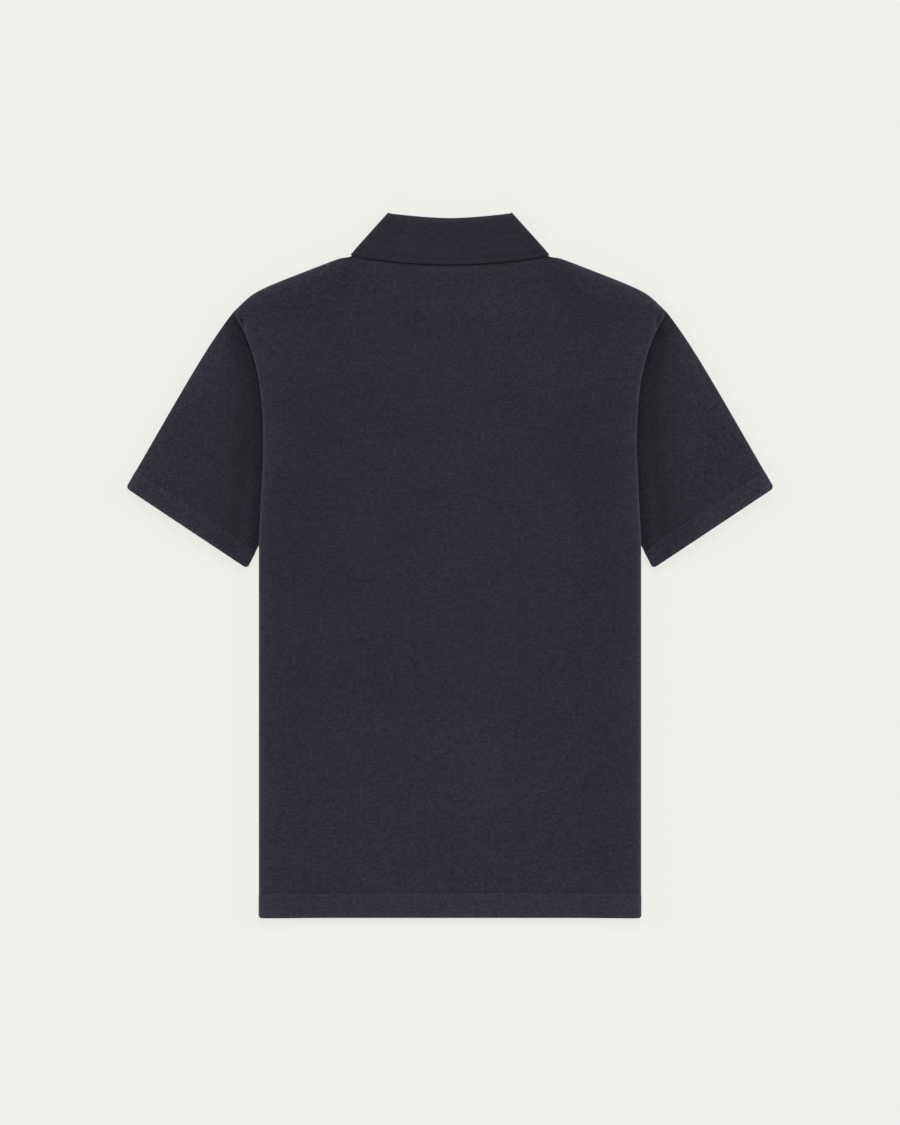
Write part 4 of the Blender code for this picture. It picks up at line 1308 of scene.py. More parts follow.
class Sleeve:
    """A sleeve: a flat tube from the armhole to the cuff.

    Its grid has stations from the armhole to the cuff, and lines round the tube, from the outer
    fold over the upper layer to the underarm and back below.  Each line runs straight from its
    point on the armhole to its point on the cuff, and lines near the outer fold bow with the
    sleeve's outer edge.
    """

    flat: Pair = (0.31, 0.247)
    tuck: Pair = mm(2.6, 1.3)  # stations of the seam allowance, under the back's edge
    # Painted shade in the valley beside the armhole's seam: middle and half width, as shares of
    # the valley's reach, and how much darker it is
    shades: tuple[Triple, ...] = ((0.38, 0.12, 0.31), (0.54, 0.16, 0.15), (0.70, 0.23, 0.16))
    seam_shade: float = 0.33  # painted shade: how much darker it is right at the seam
    seam_wide: float = 6.5 * MM
    corner_shade: float = 0.30  # painted shade: how much darker it is at the underarm, in the seam's end
    corner_wide: Pair = mm(10.0, 17.0)  # from the seam, and up it from the underarm
    tip_fade: float = 22.0 * MM  # the shade fades over this stretch towards the shoulder tip,
    tip_highlight: float = 0.6  # where the seam has a painted highlight, paler by this share of its own shade
    tip_shade: float = 0.4  # and the valley keeps this share of its shade
    paler: float = 0.035  # how much paler the whole sleeve is than the body
    cuff_proud: float = 0.1 * MM  # how far the doubled cuff stands proud of the sleeve
    fold_highlight: float = 0.08  # painted highlight: how much paler the outer fold is, where its round catches the light
    fold_wide: float = 17.0 * MM
    clear_share: float = 0.03  # the edge keeps clear of the underarm over this last share
    corner_fade: float = 12.0 * MM  # the cuff's corners are round up to here
    held_back: float = 0.75  # how much less the springy outer fold settles
    fall_share: float = 0.7  # how far its folds fall, as a share of the body's
    crease_from: Pair = (30.0 * MM, 0.1)  # they fade in from the seam and from the underarm
    shifts: Pair = (3.0, 4.3)  # of the grain, on the right and on the left
    crease_shift: float = 6.0 * MM  # of the left sleeve's creases

    def __init__(self, side: Side) -> None:
        """Work out the sleeve's shell on one side."""
        self.side = side
        way, height, layer = self.ring()
        middle, wall, from_armhole, from_cuff = self.surface(way, height, layer)
        normals = grid_normals(middle, wrap=True)
        facing = np.sign(normals[len(normals) // 3, len(way) // 4, 2])
        normals *= facing
        for station in range(len(self.tuck) + 1):
            normals[station] = CUT.in_armhole_plane(normals[station], middle[0, :, 1], 1.0)
        mirror = np.array([side.value, 1.0, 1.0])
        chart = self.chart(middle, self.shifts[0 if side is Side.RIGHT else 1])
        from_fold = np.broadcast_to(way * CUT.cuff_width, from_cuff.shape)
        drawn = CUFF_HEM.drawn_in(from_cuff, from_fold)
        tone = CUFF_HEM.tone(from_cuff, from_fold) + self.paler
        # Painted shade in the valley beside the armhole, with a painted highlight by the seam near
        # the tip
        tone = tone - self.darker(from_armhole, middle[..., 1])
        tone = tone + self.fold_highlight * bump(from_fold / self.fold_wide)
        # Painted highlight along the sleeve's folds
        tone = tone + LAY.rim_highlight(np.minimum(from_fold, CUT.cuff_width - from_fold))
        # Painted shade and highlight of the sleeve's creases
        tone = tone + CREASE_SHADING * self.creases(middle[..., 0], middle[..., 1])
        order = slice(None, None, -1) if facing * side.value < 0 else slice(None)
        fields = [middle * mirror, normals * mirror, wall, drawn, tone, from_cuff]
        middle, normals, wall, drawn, tone, self.from_cuff = (part[:, order] for part in fields)
        self.layer = layer[order]
        self.shell = Shell(
            middle=middle,
            normals=normals,
            thickness=wall,
            chart=chart[:, order],
            tone=tone,
            upper_relief=drawn,
            wrap=True,
        )

    def darker(self, from_armhole: Array, y: Array) -> Array:
        """Painted shade beside the armhole's seam: how much darker the cloth is in the valley, where
        it fades towards the shoulder tip, at the seam, and in the corner at the underarm; near the
        tip the seam has a painted highlight instead."""
        share = from_armhole / self.valley(y)
        shaded = sum(depth * hill(share, *place) for *place, depth in self.shades)
        below_tip = smooth_step((CUT.shoulder_tip[1] - y) / self.tip_fade)
        shaded = shaded * (self.tip_shade + (1.0 - self.tip_shade) * below_tip)
        below_tip = (1.0 + self.tip_highlight) * below_tip - self.tip_highlight
        shaded = shaded + self.seam_shade * bump(from_armhole / self.seam_wide) * below_tip
        beside, above = self.corner_wide
        corner = bump(from_armhole / beside) * bump((y - CUT.underarm_y) / above)
        return shaded + self.corner_shade * corner

    def ring(self) -> tuple[Array, Array, Array]:
        """Where the lines lie round the tube.

        Returns:
            Each line's share of the way from the outer fold (0) to the underarm (1), its share
            of the height, and 1 on the upper or -1 on the lower layer.
        """
        inset, share = quarter_round(LAY.shoulder_roll)
        length = CUT.arm_length
        start = inset[-1] / length
        flat = spaced((start, 1.0 - start, 62))
        way = np.concatenate([inset[:-1] / length, flat, 1.0 - inset[-2::-1] / length])
        height = np.concatenate([share[:-1], np.ones(len(flat)), share[-2::-1]])
        layer = np.concatenate([np.ones(len(way)), -np.ones(len(way) - 2)])
        way, height = (np.concatenate([part, part[-2:0:-1]]) for part in (way, height))
        return way, height, layer

    @staticmethod
    def valley(y: Array) -> Array:
        """How far the valley beside the armhole's seam reaches: more, the nearer the underarm."""
        tip, underarm = LAY.valley_reach
        down = (CUT.shoulder_tip[1] - y) / (CUT.shoulder_tip[1] - CUT.underarm_y)
        return between(tip, underarm, np.clip(down, 0.0, 1.0))

    def creases(self, x: Array, y: Array) -> Array:
        """Height of the sleeve's creases, which lie a little otherwise on the left side."""
        shift = 0.0 if self.side is Side.RIGHT else self.crease_shift
        return relief(SLEEVE_CREASES, x + shift, y)

    def chart(self, middle: Array, shift: float) -> Array:
        """Knit coordinates: the plan turned so that the wales run square to the cuff, moved by
        `shift`.  Both layers have the same, so that the grain joins at the folds."""
        course = unit(np.subtract(CUT.cuff_outer, CUT.cuff_inner))
        plan = np.concatenate([middle, middle[:, :1]], axis=1)[..., :2]
        across = plan @ course
        along = plan @ np.array([-course[1], course[0]])
        return np.stack([across + shift, along + 0.5], axis=2)

    def plan(self, way: Array, tucked: Array) -> tuple[Array, Array, Array]:
        """Plan of the sleeve.

        Args:
            way: Each line's share of the way from the outer fold to the underarm.
            tucked: Each line's share of the seam allowance under the back's edge.

        Returns:
            The points, stations by lines, and their distances from the armhole and the cuff.
        """
        arm_y = CUT.rim_y - way * CUT.arm_length
        clear = smooth_step(1.0 - (1.0 - way) / self.clear_share)
        clear = CUT.seam_shift + 0.5 * CUT.cloth * clear
        arm = np.stack([read_curve(CUT.armhole, arm_y, axis=1) + clear, arm_y], axis=1)
        outer, inner = np.array(CUT.cuff_outer), np.array(CUT.cuff_inner)
        across = unit(inner - outer)
        width = CUT.cuff_width - CUT.cloth
        outer, inner = outer + 0.5 * CUT.cloth * across, inner - 0.5 * CUT.cloth * across
        cuff = outer + way[:, None] * (inner - outer)
        length = np.linalg.norm(cuff - arm, axis=1)
        band, stitched, rim = CUT.cuff_band + 2.5 * MM, CUT.cuff_band - 6.0 * MM, 1.2 * MM
        band_steps = spaced((band, stitched, 17), (stitched, rim, 5), (rim, 0.0, 4))
        from_edge = np.minimum(band_steps[:, None], 0.95 * length)
        above = spaced((0.0, 0.16, 18), (0.16, 1.0, 52))[:-1]
        u = 1.0 - from_edge / length
        u = np.concatenate([above[:, None] * u[0], u])
        from_side = np.minimum(way, 1.0 - way) * width
        corner = CUT.cuff_corner * (1.0 - quarter_ellipse(from_side, CUT.cuff_corner))
        near_cuff = smooth_step(1.0 - (1.0 - u) * length / self.corner_fade)
        pulled = u - corner / length * near_cuff
        tip = np.array(CUT.shoulder_tip)
        straight = tip + pulled[..., None] * np.subtract(CUT.cuff_outer, tip)
        bow = read_along(CUT.sleeve_edge, pulled) - straight
        points = arm + pulled[..., None] * (cuff - arm) + (1.0 - way[:, None]) ** 2 * bow
        allowance = np.repeat(points[:1], len(self.tuck), axis=0)
        allowance[..., 0] -= np.outer(self.tuck, tucked)
        none = np.zeros((len(self.tuck), len(way)))
        away = np.linalg.norm(points[:, :, None] - curve_points(CUT.armhole, 160), axis=3)
        from_armhole = np.concatenate([none, away.min(axis=2)])
        from_cuff = np.concatenate([none + length, (1.0 - u) * length])
        return np.concatenate([allowance, points]), from_armhole, from_cuff

    def surface(self, way: Array, share: Array, layer: Array) -> tuple[Array, ...]:
        """Middle surface of the tube.

        Args:
            way: Each line's share of the way from the outer fold to the underarm.
            share: Each line's share of the height.
            layer: 1 on the upper and -1 on the lower layer.

        Returns:
            The points, the thickness, and the distances from the armhole and from the cuff.
        """
        tucked = np.where(layer > 0, smooth_step((share - 0.75) / 0.25), 0.0)
        plan, from_armhole, from_cuff = self.plan(way, np.maximum(tucked, 0.02))
        full, doubled = CUFF_HEM.wall(from_cuff), CUFF_HEM.doubled(from_cuff)
        width = CUT.cuff_width
        springy = smooth_step(1.0 - width * way / LAY.fold_reach)
        valley = self.valley(plan[..., 1])
        reached = smooth_step((from_armhole - valley) / LAY.sleeve_reach)
        settle = reached * (1.0 - self.held_back * springy)
        upper = between(LAY.sleeve_high, LAY.sleeve_low, settle)
        rise = 1.0 - np.clip(1.0 - from_armhole / valley, 0.0, 1.0) ** 2
        upper = between(LAY.sleeve_start, upper, rise)
        fall = LAY.fall(width * np.minimum(way, 1.0 - way))
        upper = upper - fall * self.fall_share * rise
        reach, share_left = self.crease_from
        away = smooth_step(from_armhole / reach) * smooth_step((1.0 - way) / share_left)
        upper = upper + self.creases(plan[..., 0], plan[..., 1]) * away
        upper = upper + 0.5 * (full - CUT.cloth) + self.cuff_proud * doubled
        free = np.where(layer > 0, upper, 0.5 * full)
        middle = np.concatenate([plan, between(LAY.seam, free, share)[..., None]], axis=2)
        return middle, CUFF_HEM.thickness(from_cuff), from_armhole, from_cuff

    def stitch_routes(self) -> list[Route]:
        """Lines for the two rows of stitches round the cuff."""
        stations, columns = map(np.arange, self.from_cuff.shape)
        routes = []
        for distance in CUFF_HEM.rows:
            rows = np.array([np.interp(-distance, -line, stations) for line in self.from_cuff.T])
            points, out = self.shell.route(rows, columns)
            for layer in (1.0, -1.0):
                where = np.nonzero(self.layer == layer)[0][2:-2]
                routes.append((points[where], out[where]))
        return routes

    def build(self, finishes: Finishes) -> None:
        """Add the sleeve and its cuff's stitches."""
        name = "sleeve_" + self.side.name.lower()
        piece = add_piece(self.shell.mesh(name + "_tube"), finishes.sleeve)
        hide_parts(name)
        stitches = Thread().sew(name + "_cuff_stitches", self.stitch_routes(), finishes.thread)


# ---- Collar ----


class Collar:
    """The collar: one folded piece from the left end at the front round to the right end.

    The stand rises from the neck seam to the fold, turns over in a half round, and falls to
    the free edge.  At the sides of the neck the whole turns over to the front, the stand on a
    small radius and the fall on a larger one, so that the four layers lie on each other.
    """

    flat: Pair = (0.45, 0.10)
    edge_stitch: float = 4.6 * MM
    fold_highlight: float = 0.50  # painted highlight: how much paler the fold is, where its round catches the light
    fold_wide: float = 6.0 * MM
    side_highlight: float = 0.12  # painted highlight: how much paler it is round the side of the neck, where its turn catches the light
    side_wide: float = 4.5 * MM
    seam_shade: float = 0.15  # painted shade: how much darker the cloth is by the edge stitches, where the fall slopes down to its edge
    # Forms along the free edge: depth or height, then middle and half width across it
    groove: Triple = mm(-0.15, 4.6, 1.2)
    ridge: Triple = mm(0.08, 2.0, 1.3)
    thinner: Pair = mm(-0.45, 11.0)  # how much thinner the edge is, and over what stretch
    # Middle and half width of that painted shade, from the free edge
    stitch_shade: Pair = mm(5.0, 4.6)
    edge_left: float = 0.25  # what is left of the wall's thickness right at the edge
    groove_uneven: float = 0.3
    edge_steps: Pair = mm(7.0, 1.0)  # the grid is finer from here to the edge

    def __init__(self) -> None:
        """Work out the collar's shell."""
        right, chart, *distances = self.half()
        middle = mirrored(right, np.array([-1.0, 1.0, 1.0]))
        u, v = mirrored(chart[..., 0], -1.0), mirrored(chart[..., 1])
        self.from_edge, from_fold, from_side = map(mirrored, distances)
        self.from_end = np.minimum(u - u[:1], u[-1:] - u)
        rounded = quarter_ellipse(np.minimum(self.from_edge, self.from_end), 0.5 * CUT.cloth)
        wave = uneven_wave(u, 8.3 * MM, 13.1 * MM, 21.0 * MM)
        forms = (self.groove, self.ridge)
        groove, ridge = (height * hill(self.from_edge, *place) for height, *place in forms)
        depth, reach = self.thinner
        thinner = depth * np.clip(1.0 - self.from_edge / reach, 0.0, 1.0) ** 2
        # Painted shade by the edge stitches, painted highlights at the fold and round the side of the
        # neck
        stitch_shade = hill(self.from_edge, *self.stitch_shade)
        worn = self.fold_highlight * bump(from_fold / self.fold_wide)
        worn = worn + self.side_highlight * bump(from_side / self.side_wide)
        self.shell = Shell(
            middle=middle,
            normals=grid_normals(middle),
            thickness=CUT.cloth * np.maximum(rounded, self.edge_left),
            chart=np.stack([u + 5.5, v], axis=2),
            tone=1.0 - self.seam_shade * stitch_shade + worn,
            upper_relief=groove * (1.0 + self.groove_uneven * wave) + ridge + thinner,
        )

    def lines(self) -> tuple[Array, Array, Array, Array]:
        """Plan of the neck seam, the fold and the free edge, for the right half.

        Each is a row of points from the middle of the back to the side, over the turn at the
        side, and on to the end at the front.

        Returns:
            The three rows, and the angle turned at each point, from 0 on the back to pi.
        """
        outwards = np.array(COLLAR.outwards)
        inset = (COLLAR.fall_radius + 0.5 * CUT.cloth) * outwards
        side_seam = np.array(CUT.neck_point) + (-COLLAR.stand_radius, 2.0 * CUT.gap)
        side_fold = np.array(COLLAR.fold_corner) - inset - (0.0, COLLAR.fold_radius)
        side_edge = np.array(COLLAR.edge_corner) - inset
        share = np.linspace(0.0, 1.0, 37)

        def back_line(side: Array, middle_y: float, power: float) -> Array:
            rise = (side[1] - middle_y) * share**power
            return np.stack([share * side[0], middle_y + rise], axis=1)

        fold_y = COLLAR.fold_middle_y - COLLAR.fold_radius - 0.5 * CUT.cloth
        seam_back = back_line(side_seam, CUT.back_neck_y + CUT.seam_shift, 2.0)
        fold_back = back_line(side_fold, fold_y, COLLAR.fold_power)
        edge_back = back_line(side_edge, COLLAR.edge_middle_y, 2.0)

        front_x = np.linspace(side_seam[0], COLLAR.end_x, 45)[1:]
        seam_y = CUT.front_neckline(front_x) + CUT.seam_shift
        seam_front = np.stack([front_x - CUT.seam_shift, seam_y], axis=1)
        seam_front[-1, 0] = COLLAR.end_x
        seam_front = np.vstack([side_seam, seam_front])
        way = arc_lengths(seam_front) / arc_lengths(seam_front)[-1]
        fold_end = (COLLAR.end_x, COLLAR.front_fold_y)
        fold_front = bezier((side_fold, *COLLAR.front_fold_handles, fold_end), way)
        edge_front = side_edge + way[:, None] * (np.array(COLLAR.point) - side_edge)

        turns = np.linspace(0.0, pi, 15)[1:-1]
        backs = (seam_back, fold_back, edge_back)
        seam, fold, edge = (
            np.vstack([back, np.repeat(back[-1:], len(turns), axis=0), front])
            for back, front in zip(backs, (seam_front, fold_front, edge_front))
        )
        angle = np.concatenate([np.zeros(len(share)), turns, np.full(len(way), pi)])
        return seam, fold, edge, angle

    def half(self) -> tuple[Array, ...]:
        """The right half of the collar.

        Returns:
            The middle points, along the neck by up and over, their knit coordinates, and their
            distances from the free edge, from the fold and from the turn at the side.
        """
        seam, fold, edge, angle = self.lines()
        upwards = unit(fold - seam)
        outwards = np.array(COLLAR.outwards)
        stand, radius = COLLAR.stand_radius, COLLAR.fold_radius
        fall = edge - fold
        depth = np.linalg.norm(fall, axis=1)
        parts = []

        def place(plan: Array, swing: float) -> None:
            swung = plan + swing * np.sin(angle)[:, None] * outwards
            parts.append(np.column_stack([swung, LAY.seam + swing * np.cos(angle)]))

        for share in np.linspace(0.0, 1.0, 13):
            place(seam + share * (fold - seam), stand)
        stood = len(parts)
        for turn in np.linspace(0.0, pi, 11)[1:-1]:
            place(fold + radius * sin(turn) * upwards, stand + radius * (1.0 - cos(turn)))
        folded = (stood + len(parts)) // 2
        fine, rim = self.edge_steps
        ends = spaced((fine, rim, 12), (rim, 0.0, 4))
        for share in np.linspace(0.0, 1.0, 16)[:-1]:
            place(fold + (share * (1.0 - ends[0] / depth))[:, None] * fall, COLLAR.fall_radius)
        for end in ends:
            place(fold + (1.0 - end / depth)[:, None] * fall, COLLAR.fall_radius)
        points = np.stack(parts, axis=1)
        up = row_lengths(points)
        round_neck = arc_lengths(0.5 * (points[:, 0] + points[:, len(parts) // 2]))
        chart = np.stack([np.broadcast_to(round_neck[:, None], up.shape), -up], axis=2)
        from_side = np.abs(round_neck - np.interp(0.5 * pi, angle, round_neck))[:, None]
        return points, chart, up[:, -1:] - up, np.abs(up - up[:, folded, None]), from_side

    def stitch_routes(self) -> list[Route]:
        """The line for the row of stitches along the free edge and up both front ends."""
        count, across = map(np.arange, self.from_edge.shape)
        columns = np.array([np.interp(-self.edge_stitch, -row, across) for row in self.from_edge])
        inside = self.from_end[:, -1] > self.edge_stitch
        rows, columns = count[inside].astype(float), columns[inside]
        routes = [self.shell.route(rows, columns)]
        below_fold = len(across) // 2 - 8.0
        for end, order in ((0, 1), (-1, -1)):
            row = float(np.interp(self.edge_stitch, self.from_end[::order, -1], count))
            row = row if end == 0 else len(count) - 1 - row
            up = np.linspace(columns[end], below_fold, 60)
            routes.append(self.shell.route(np.full_like(up, row), up))
        return routes

    def build(self, finishes: Finishes) -> None:
        """Add the collar and its edge stitches."""
        piece = add_piece(self.shell.mesh("folded_collar"), finishes.collar)
        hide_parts("collar")
        stitches = Thread(radius=0.16 * MM, pitch=2.8 * MM, length=2.1 * MM).sew(
            "collar_edge_stitches", self.stitch_routes(), finishes.thread
        )


# ---- Placket and buttons ----


class Placket:
    """The two strips in the slot of the front, with the seams and buttonholes of the upper one.

    The upper strip is the one that faces out of the shirt's front, so it lies lowest here.
    """

    edge_stitch: float = 2.4 * MM
    box: float = 9.0 * MM
    groove: Pair = mm(-0.12, 0.8)  # depth and half width, at each row of stitches
    hole_half: float = 7.2 * MM  # half the length of a buttonhole
    hole_sides: Pair = mm(0.25, 1.3)  # its stitches reach from here to here beside it
    hole_pitch: float = 0.5 * MM
    bar_half: float = 0.9 * MM  # half the width of the bars that end it

    def __init__(self) -> None:
        """Find where the strips start and end in the slot."""
        rim_y = CUT.front_neck_y - LAY.shoulder_roll
        self.low = CUT.underarm_y + CUT.placket_share * (rim_y - CUT.underarm_y) + CUT.gap
        self.high = CUT.front_neck_y - CUT.gap
        self.half = CUT.placket_half_width - CUT.gap

    @staticmethod
    def lines(start: float, end: float, steps: int) -> Array:
        """Grid lines from edge to edge of a strip, closer together in its outer millimetre."""
        return spaced((start, start + MM, 3), (start + MM, end - MM, steps), (end - MM, end, 3))

    @staticmethod
    def on_front(plan: Array) -> Array:
        """The points of a plan, brought to the front's underside."""
        return np.column_stack([plan, LAY.front_underside(plan[:, 0], plan[:, 1])])

    def strip(self, level: float, shift: float) -> Shell:
        """The shell of one strip.

        Args:
            level: Height of its middle above the front's underside.
            shift: How far its grain is moved.

        Returns:
            The shell, with rounded edges and a groove along each row of stitches.
        """
        across = self.lines(-self.half, self.half, 34)
        x, y = np.meshgrid(across, self.lines(self.low, self.high, 150))
        middle = np.stack([x, y, LAY.front_underside(x, y) + level], axis=2)
        sides = self.half - np.abs(x)
        rim = np.minimum(sides, np.minimum(y - self.low, self.high - y))
        rounded = quarter_ellipse(rim, 0.5 * CUT.placket_cloth)
        depth, wide = self.groove
        groove = hill(sides, self.edge_stitch, wide)
        wave = uneven_wave(y, 9.1 * MM, 14.3 * MM, 23.0 * MM)
        return Shell(
            middle=middle,
            normals=np.broadcast_to(UP, middle.shape),
            thickness=CUT.placket_cloth * np.maximum(rounded, 0.3),
            chart=np.stack([x + shift, y + 0.5], axis=2),
            tone=np.ones_like(x),
            lower_relief=depth * groove * (1.0 + 0.3 * wave),
        )

    def routes(self) -> list[Route]:
        """Lines for the stitches: along both sides, across the lower end, and a box there."""
        inset = self.half - self.edge_stitch
        low, box = self.low + self.edge_stitch, self.low + self.edge_stitch + self.box
        corners = (
            ((-inset, low), (-inset, self.high)),
            ((inset, low), (inset, self.high)),
            ((-inset, low), (inset, low)),
            ((-inset, box), (inset, box)),
            ((-inset, low), (inset, box)),
            ((-inset, box), (inset, low)),
        )
        t = np.linspace(0.0, 1.0, 80)[:, None]
        lines = [self.on_front(start + t * np.subtract(end, start)) for start, end in corners]
        return [(points, np.broadcast_to(-UP, points.shape)) for points in lines]

    def buttonhole(self, y: float) -> tuple[Array, Array, Array]:
        """Start, end and normal of the close stitches round one buttonhole."""
        half, (near, far) = self.hole_half, self.hole_sides
        along = np.arange(-half, half, self.hole_pitch)
        across = np.linspace(-self.bar_half, self.bar_half, 5)
        starts, ends = [], []
        for side in (-1.0, 1.0):
            for plans, away in ((starts, near), (ends, far)):
                plans.append(np.column_stack([np.full_like(along, side * away), y + along]))
        for end in (-1.0, 1.0):
            for plans, away in ((starts, half), (ends, half + far)):
                plans.append(np.column_stack([across, np.full_like(across, y + end * away)]))
        starts, ends = (self.on_front(np.concatenate(plans)) for plans in (starts, ends))
        return starts, ends, np.broadcast_to(-UP, starts.shape)

    def build(self, finishes: Finishes) -> None:
        """Add both strips, the seams of the upper one and its buttonholes."""
        upper = self.strip(0.5 * CUT.placket_cloth, 7.0)
        under = self.strip(1.5 * CUT.placket_cloth + CUT.gap, 7.3)
        for name, shell in (("placket_upper", upper), ("placket_under", under)):
            strip = add_piece(shell.mesh(name + "_strip"), finishes.jersey)
            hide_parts(name)
        stitches = Thread(pitch=2.8 * MM, length=2.1 * MM, radius=0.17 * MM).sew(
            "placket_stitches", self.routes(), finishes.thread
        )
        holes = [self.buttonhole(y) for y in BUTTON_PLACES.values()]
        starts, ends, normals = (np.concatenate(part) for part in zip(*holes))
        close = Thread(radius=0.2 * MM, rise=0.08 * MM, stations=5)
        mesh = close.mesh("buttonhole_stitches", starts, ends, normals)
        sewn = add_piece(mesh, finishes.thread)


BUTTON_PLACES = {"button_1": 243.0 * MM, "button_2": 190.0 * MM, "button_3": 137.0 * MM}


@dataclass(frozen=True)
class Button:
    """A four-hole button, face down on the surface, with the thread through its holes."""

    name: str
    y: float
    radius: float = 5.6 * MM
    thickness: float = 2.0 * MM
    rim: float = 1.3 * MM
    dish: float = 0.5 * MM
    hole_radius: float = 0.8 * MM
    hole_offset: float = 1.4 * MM
    hole_depth: float = 1.2 * MM
    hole_edge: float = 0.2 * MM  # width of the slope at a hole's edge
    core: float = 0.12 * MM  # radius of the smallest ring of the mesh
    flat: float = 2.6 * MM  # radius of the finely meshed middle, with the holes
    flank: float = 2.9 * MM  # radius at which the face starts to rise towards the rim
    strand: float = 0.22 * MM  # distance of the thread's strands from each other

    def profile(self) -> tuple[Array, Array, Array]:
        """The turned outline: radii, heights, and 1 where the holes may be.

        From the middle of the dished face the outline runs out to the rounded rim, round the
        edge on a half ellipse, and back to the middle of the flat back.
        """
        inner = self.radius - self.rim
        flat = np.linspace(self.core, self.flat, 22)
        face = np.concatenate([flat, np.linspace(self.flat + 0.1 * MM, inner, 6)])
        risen = smooth_step((face - self.flank) / (inner - self.flank))
        face_z = self.dish * (1.0 - risen)
        turn = np.linspace(-0.5 * pi, 0.5 * pi, 13)
        edge = self.radius - 0.55 * self.rim * (1.0 - np.cos(turn))
        edge_z = 0.5 * self.thickness * (1.0 + np.sin(turn))
        back = np.linspace(inner, self.core, 6)
        radii = np.concatenate([face, edge, back])
        heights = np.concatenate([face_z, edge_z, np.full(len(back), self.thickness)])
        holes = np.concatenate([np.ones(len(face)), np.zeros(len(edge) + len(back))])
        return radii, heights, holes

    def mesh(self, sides: int = 72) -> Mesh:
        """The button: its outline turned about its axis, with a steep dimple at each hole."""
        radii, heights, holes = self.profile()
        angles = 2.0 * pi * np.arange(sides) / sides
        x, y = radii[:, None] * np.cos(angles), radii[:, None] * np.sin(angles)
        z = np.repeat(heights[:, None], sides, axis=1)
        rim = self.hole_radius + 0.5 * self.hole_edge
        for quarter in range(4):
            turn = 0.25 * pi + 0.5 * pi * quarter
            at_x, at_y = self.hole_offset * cos(turn), self.hole_offset * sin(turn)
            dimple = smooth_step((rim - np.hypot(x - at_x, y - at_y)) / self.hole_edge)
            z += holes[:, None] * self.hole_depth * dimple
        points = np.stack([x, y + self.y, z], axis=2).reshape(-1, 3)
        return make_mesh(self.name + "_turned", points, *tube_faces(sides, len(radii)))

    def thread_mesh(self) -> Mesh:
        """The thread on the face: two bars of three strands, from hole to hole."""
        place = self.hole_offset * sin(0.25 * pi)
        starts, ends = [], []
        for side in (-1.0, 1.0):
            for strand in (-self.strand, 0.0, self.strand):
                starts.append((-place, self.y + side * place + strand, self.dish))
                ends.append((place, self.y + side * place - 0.5 * strand, self.dish))
        starts, ends = np.array(starts), np.array(ends)
        thread = Thread(radius=0.17 * MM, rise=0.16 * MM, stations=9, sides=8)
        return thread.mesh(self.name + "_thread", starts, ends, np.broadcast_to(-UP, starts.shape))

    def build(self, finishes: Finishes) -> None:
        """Add the button and its thread."""
        disc = add_piece(self.mesh(), finishes.button)
        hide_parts(self.name)
        add_piece(self.thread_mesh(), finishes.thread)
        log.info("%s: %.1f mm wide", self.name, 2.0 * self.radius / MM)


# ---- Studio ----


@dataclass(frozen=True)
class Softbox:
    """A large soft light, so far away that it is even over the whole shirt; angles in degrees."""

    name: str
    bearing: float  # direction that it comes from, from +X towards +Y
    elevation: float  # over the floor
    spread: float  # how wide it looks from the shirt
    share: float  # of the light that falls on level cloth

    def build(self) -> None:
        """Add the light."""
        lamp = bpy.data.lights.new(self.name, "SUN")
        lamp.angle = radians(self.spread)
        lamp.energy = self.share * pi / sin(radians(self.elevation))
        turn = (0.0, radians(90.0 - self.elevation), radians(self.bearing))
        add_object(self.name, lamp).rotation_euler = turn


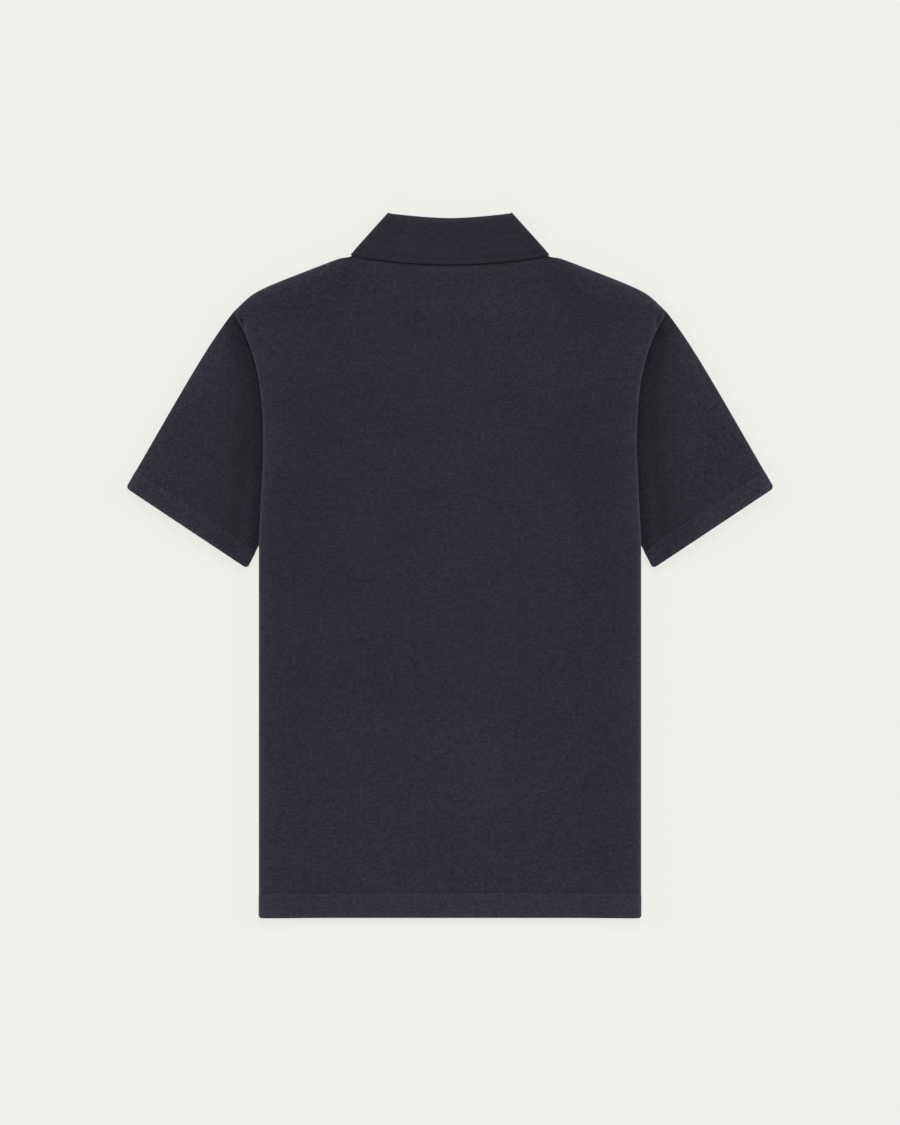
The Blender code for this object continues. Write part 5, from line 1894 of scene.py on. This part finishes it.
@dataclass(frozen=True)
class Studio:
    """A pale floor, soft lights from the sides and from above the collar, and the camera."""

    floor: float = 60.0  # half its width
    floor_z: float = -0.1 * MM  # just clear of the thread on the shirt's underside
    floor_diffuse: Colour = (0.12, 0.12, 0.12)
    floor_glow: Colour = (0.751, 0.760, 0.711)  # light that it gives off, so shadows stay faint
    ambient: float = 0.21  # strength of the light from all round
    distance: float = 3.0  # of the camera above the shirt
    view_height: float = 1.20375  # how much of the floor the frame shows from top to bottom
    view_y: float = 2.9 * MM  # of the middle of the frame
    sensor: float = 36.0  # along the longer side of the frame
    lights: tuple[Softbox, ...] = (
        Softbox("left_softbox", 167.0, 10.0, 16.0, 0.20),
        Softbox("right_softbox", 11.0, 10.0, 16.0, 0.19),
        Softbox("collar_softbox", 84.0, 27.0, 10.0, 0.30),
        Softbox("hem_softbox", 268.0, 12.0, 12.0, 0.10),
    )

    def add_floor(self) -> None:
        """Add the plain pale floor."""
        far, z = self.floor, self.floor_z
        corners = np.array([(-far, -far, z), (far, -far, z), (far, far, z), (-far, far, z)])
        mesh = make_mesh("pale_floor", corners, np.array([[0, 1, 2, 3]]))
        material = NodeWeb("pale_floor").dress({
            "Base Color": (*self.floor_diffuse, 1.0),
            "Roughness": 0.9,
            "Specular IOR Level": 0.0,
            "Emission Color": (*self.floor_glow, 1.0),
            "Emission Strength": 1.0,
        })
        mesh.materials.append(material)
        floor = add_object("pale_floor", mesh)

    def add_camera(self) -> None:
        """Add the camera, straight above the shirt, with the collar at the top."""
        lens = bpy.data.cameras.new("camera")
        lens.sensor_width = self.sensor
        lens.lens = self.sensor * self.distance / self.view_height
        lens.clip_end = 200.0
        camera = add_object("camera", lens)
        camera.location = (0.0, self.view_y, self.distance + LAY.back)
        bpy.context.scene.camera = camera

    def build(self) -> None:
        """Add the floor, the lights and the camera."""
        world = bpy.data.worlds.new("studio")
        world.use_nodes = True
        sky = world.node_tree.nodes["Background"]
        sky.inputs["Color"].default_value = (1.0, 1.0, 1.0, 1.0)
        sky.inputs["Strength"].default_value = self.ambient
        bpy.context.scene.world = world
        bpy.context.scene.view_settings.view_transform = "Standard"
        for light in self.lights:
            light.build()
        self.add_floor()
        self.add_camera()


def main() -> None:
    """Build the shirt and its studio, piece by piece."""
    logging.basicConfig(level=logging.INFO, format="%(name)s: %(message)s")
    Studio().build()
    finishes = Finishes()
    FrontPanel().build(finishes)
    BackPanel().build(finishes)
    for side in Side:
        Sleeve(side).build(finishes)
    Collar().build(finishes)
    Placket().build(finishes)
    for name, y in BUTTON_PLACES.items():
        Button(name, y).build(finishes)


if __name__ == "__main__":
    main()
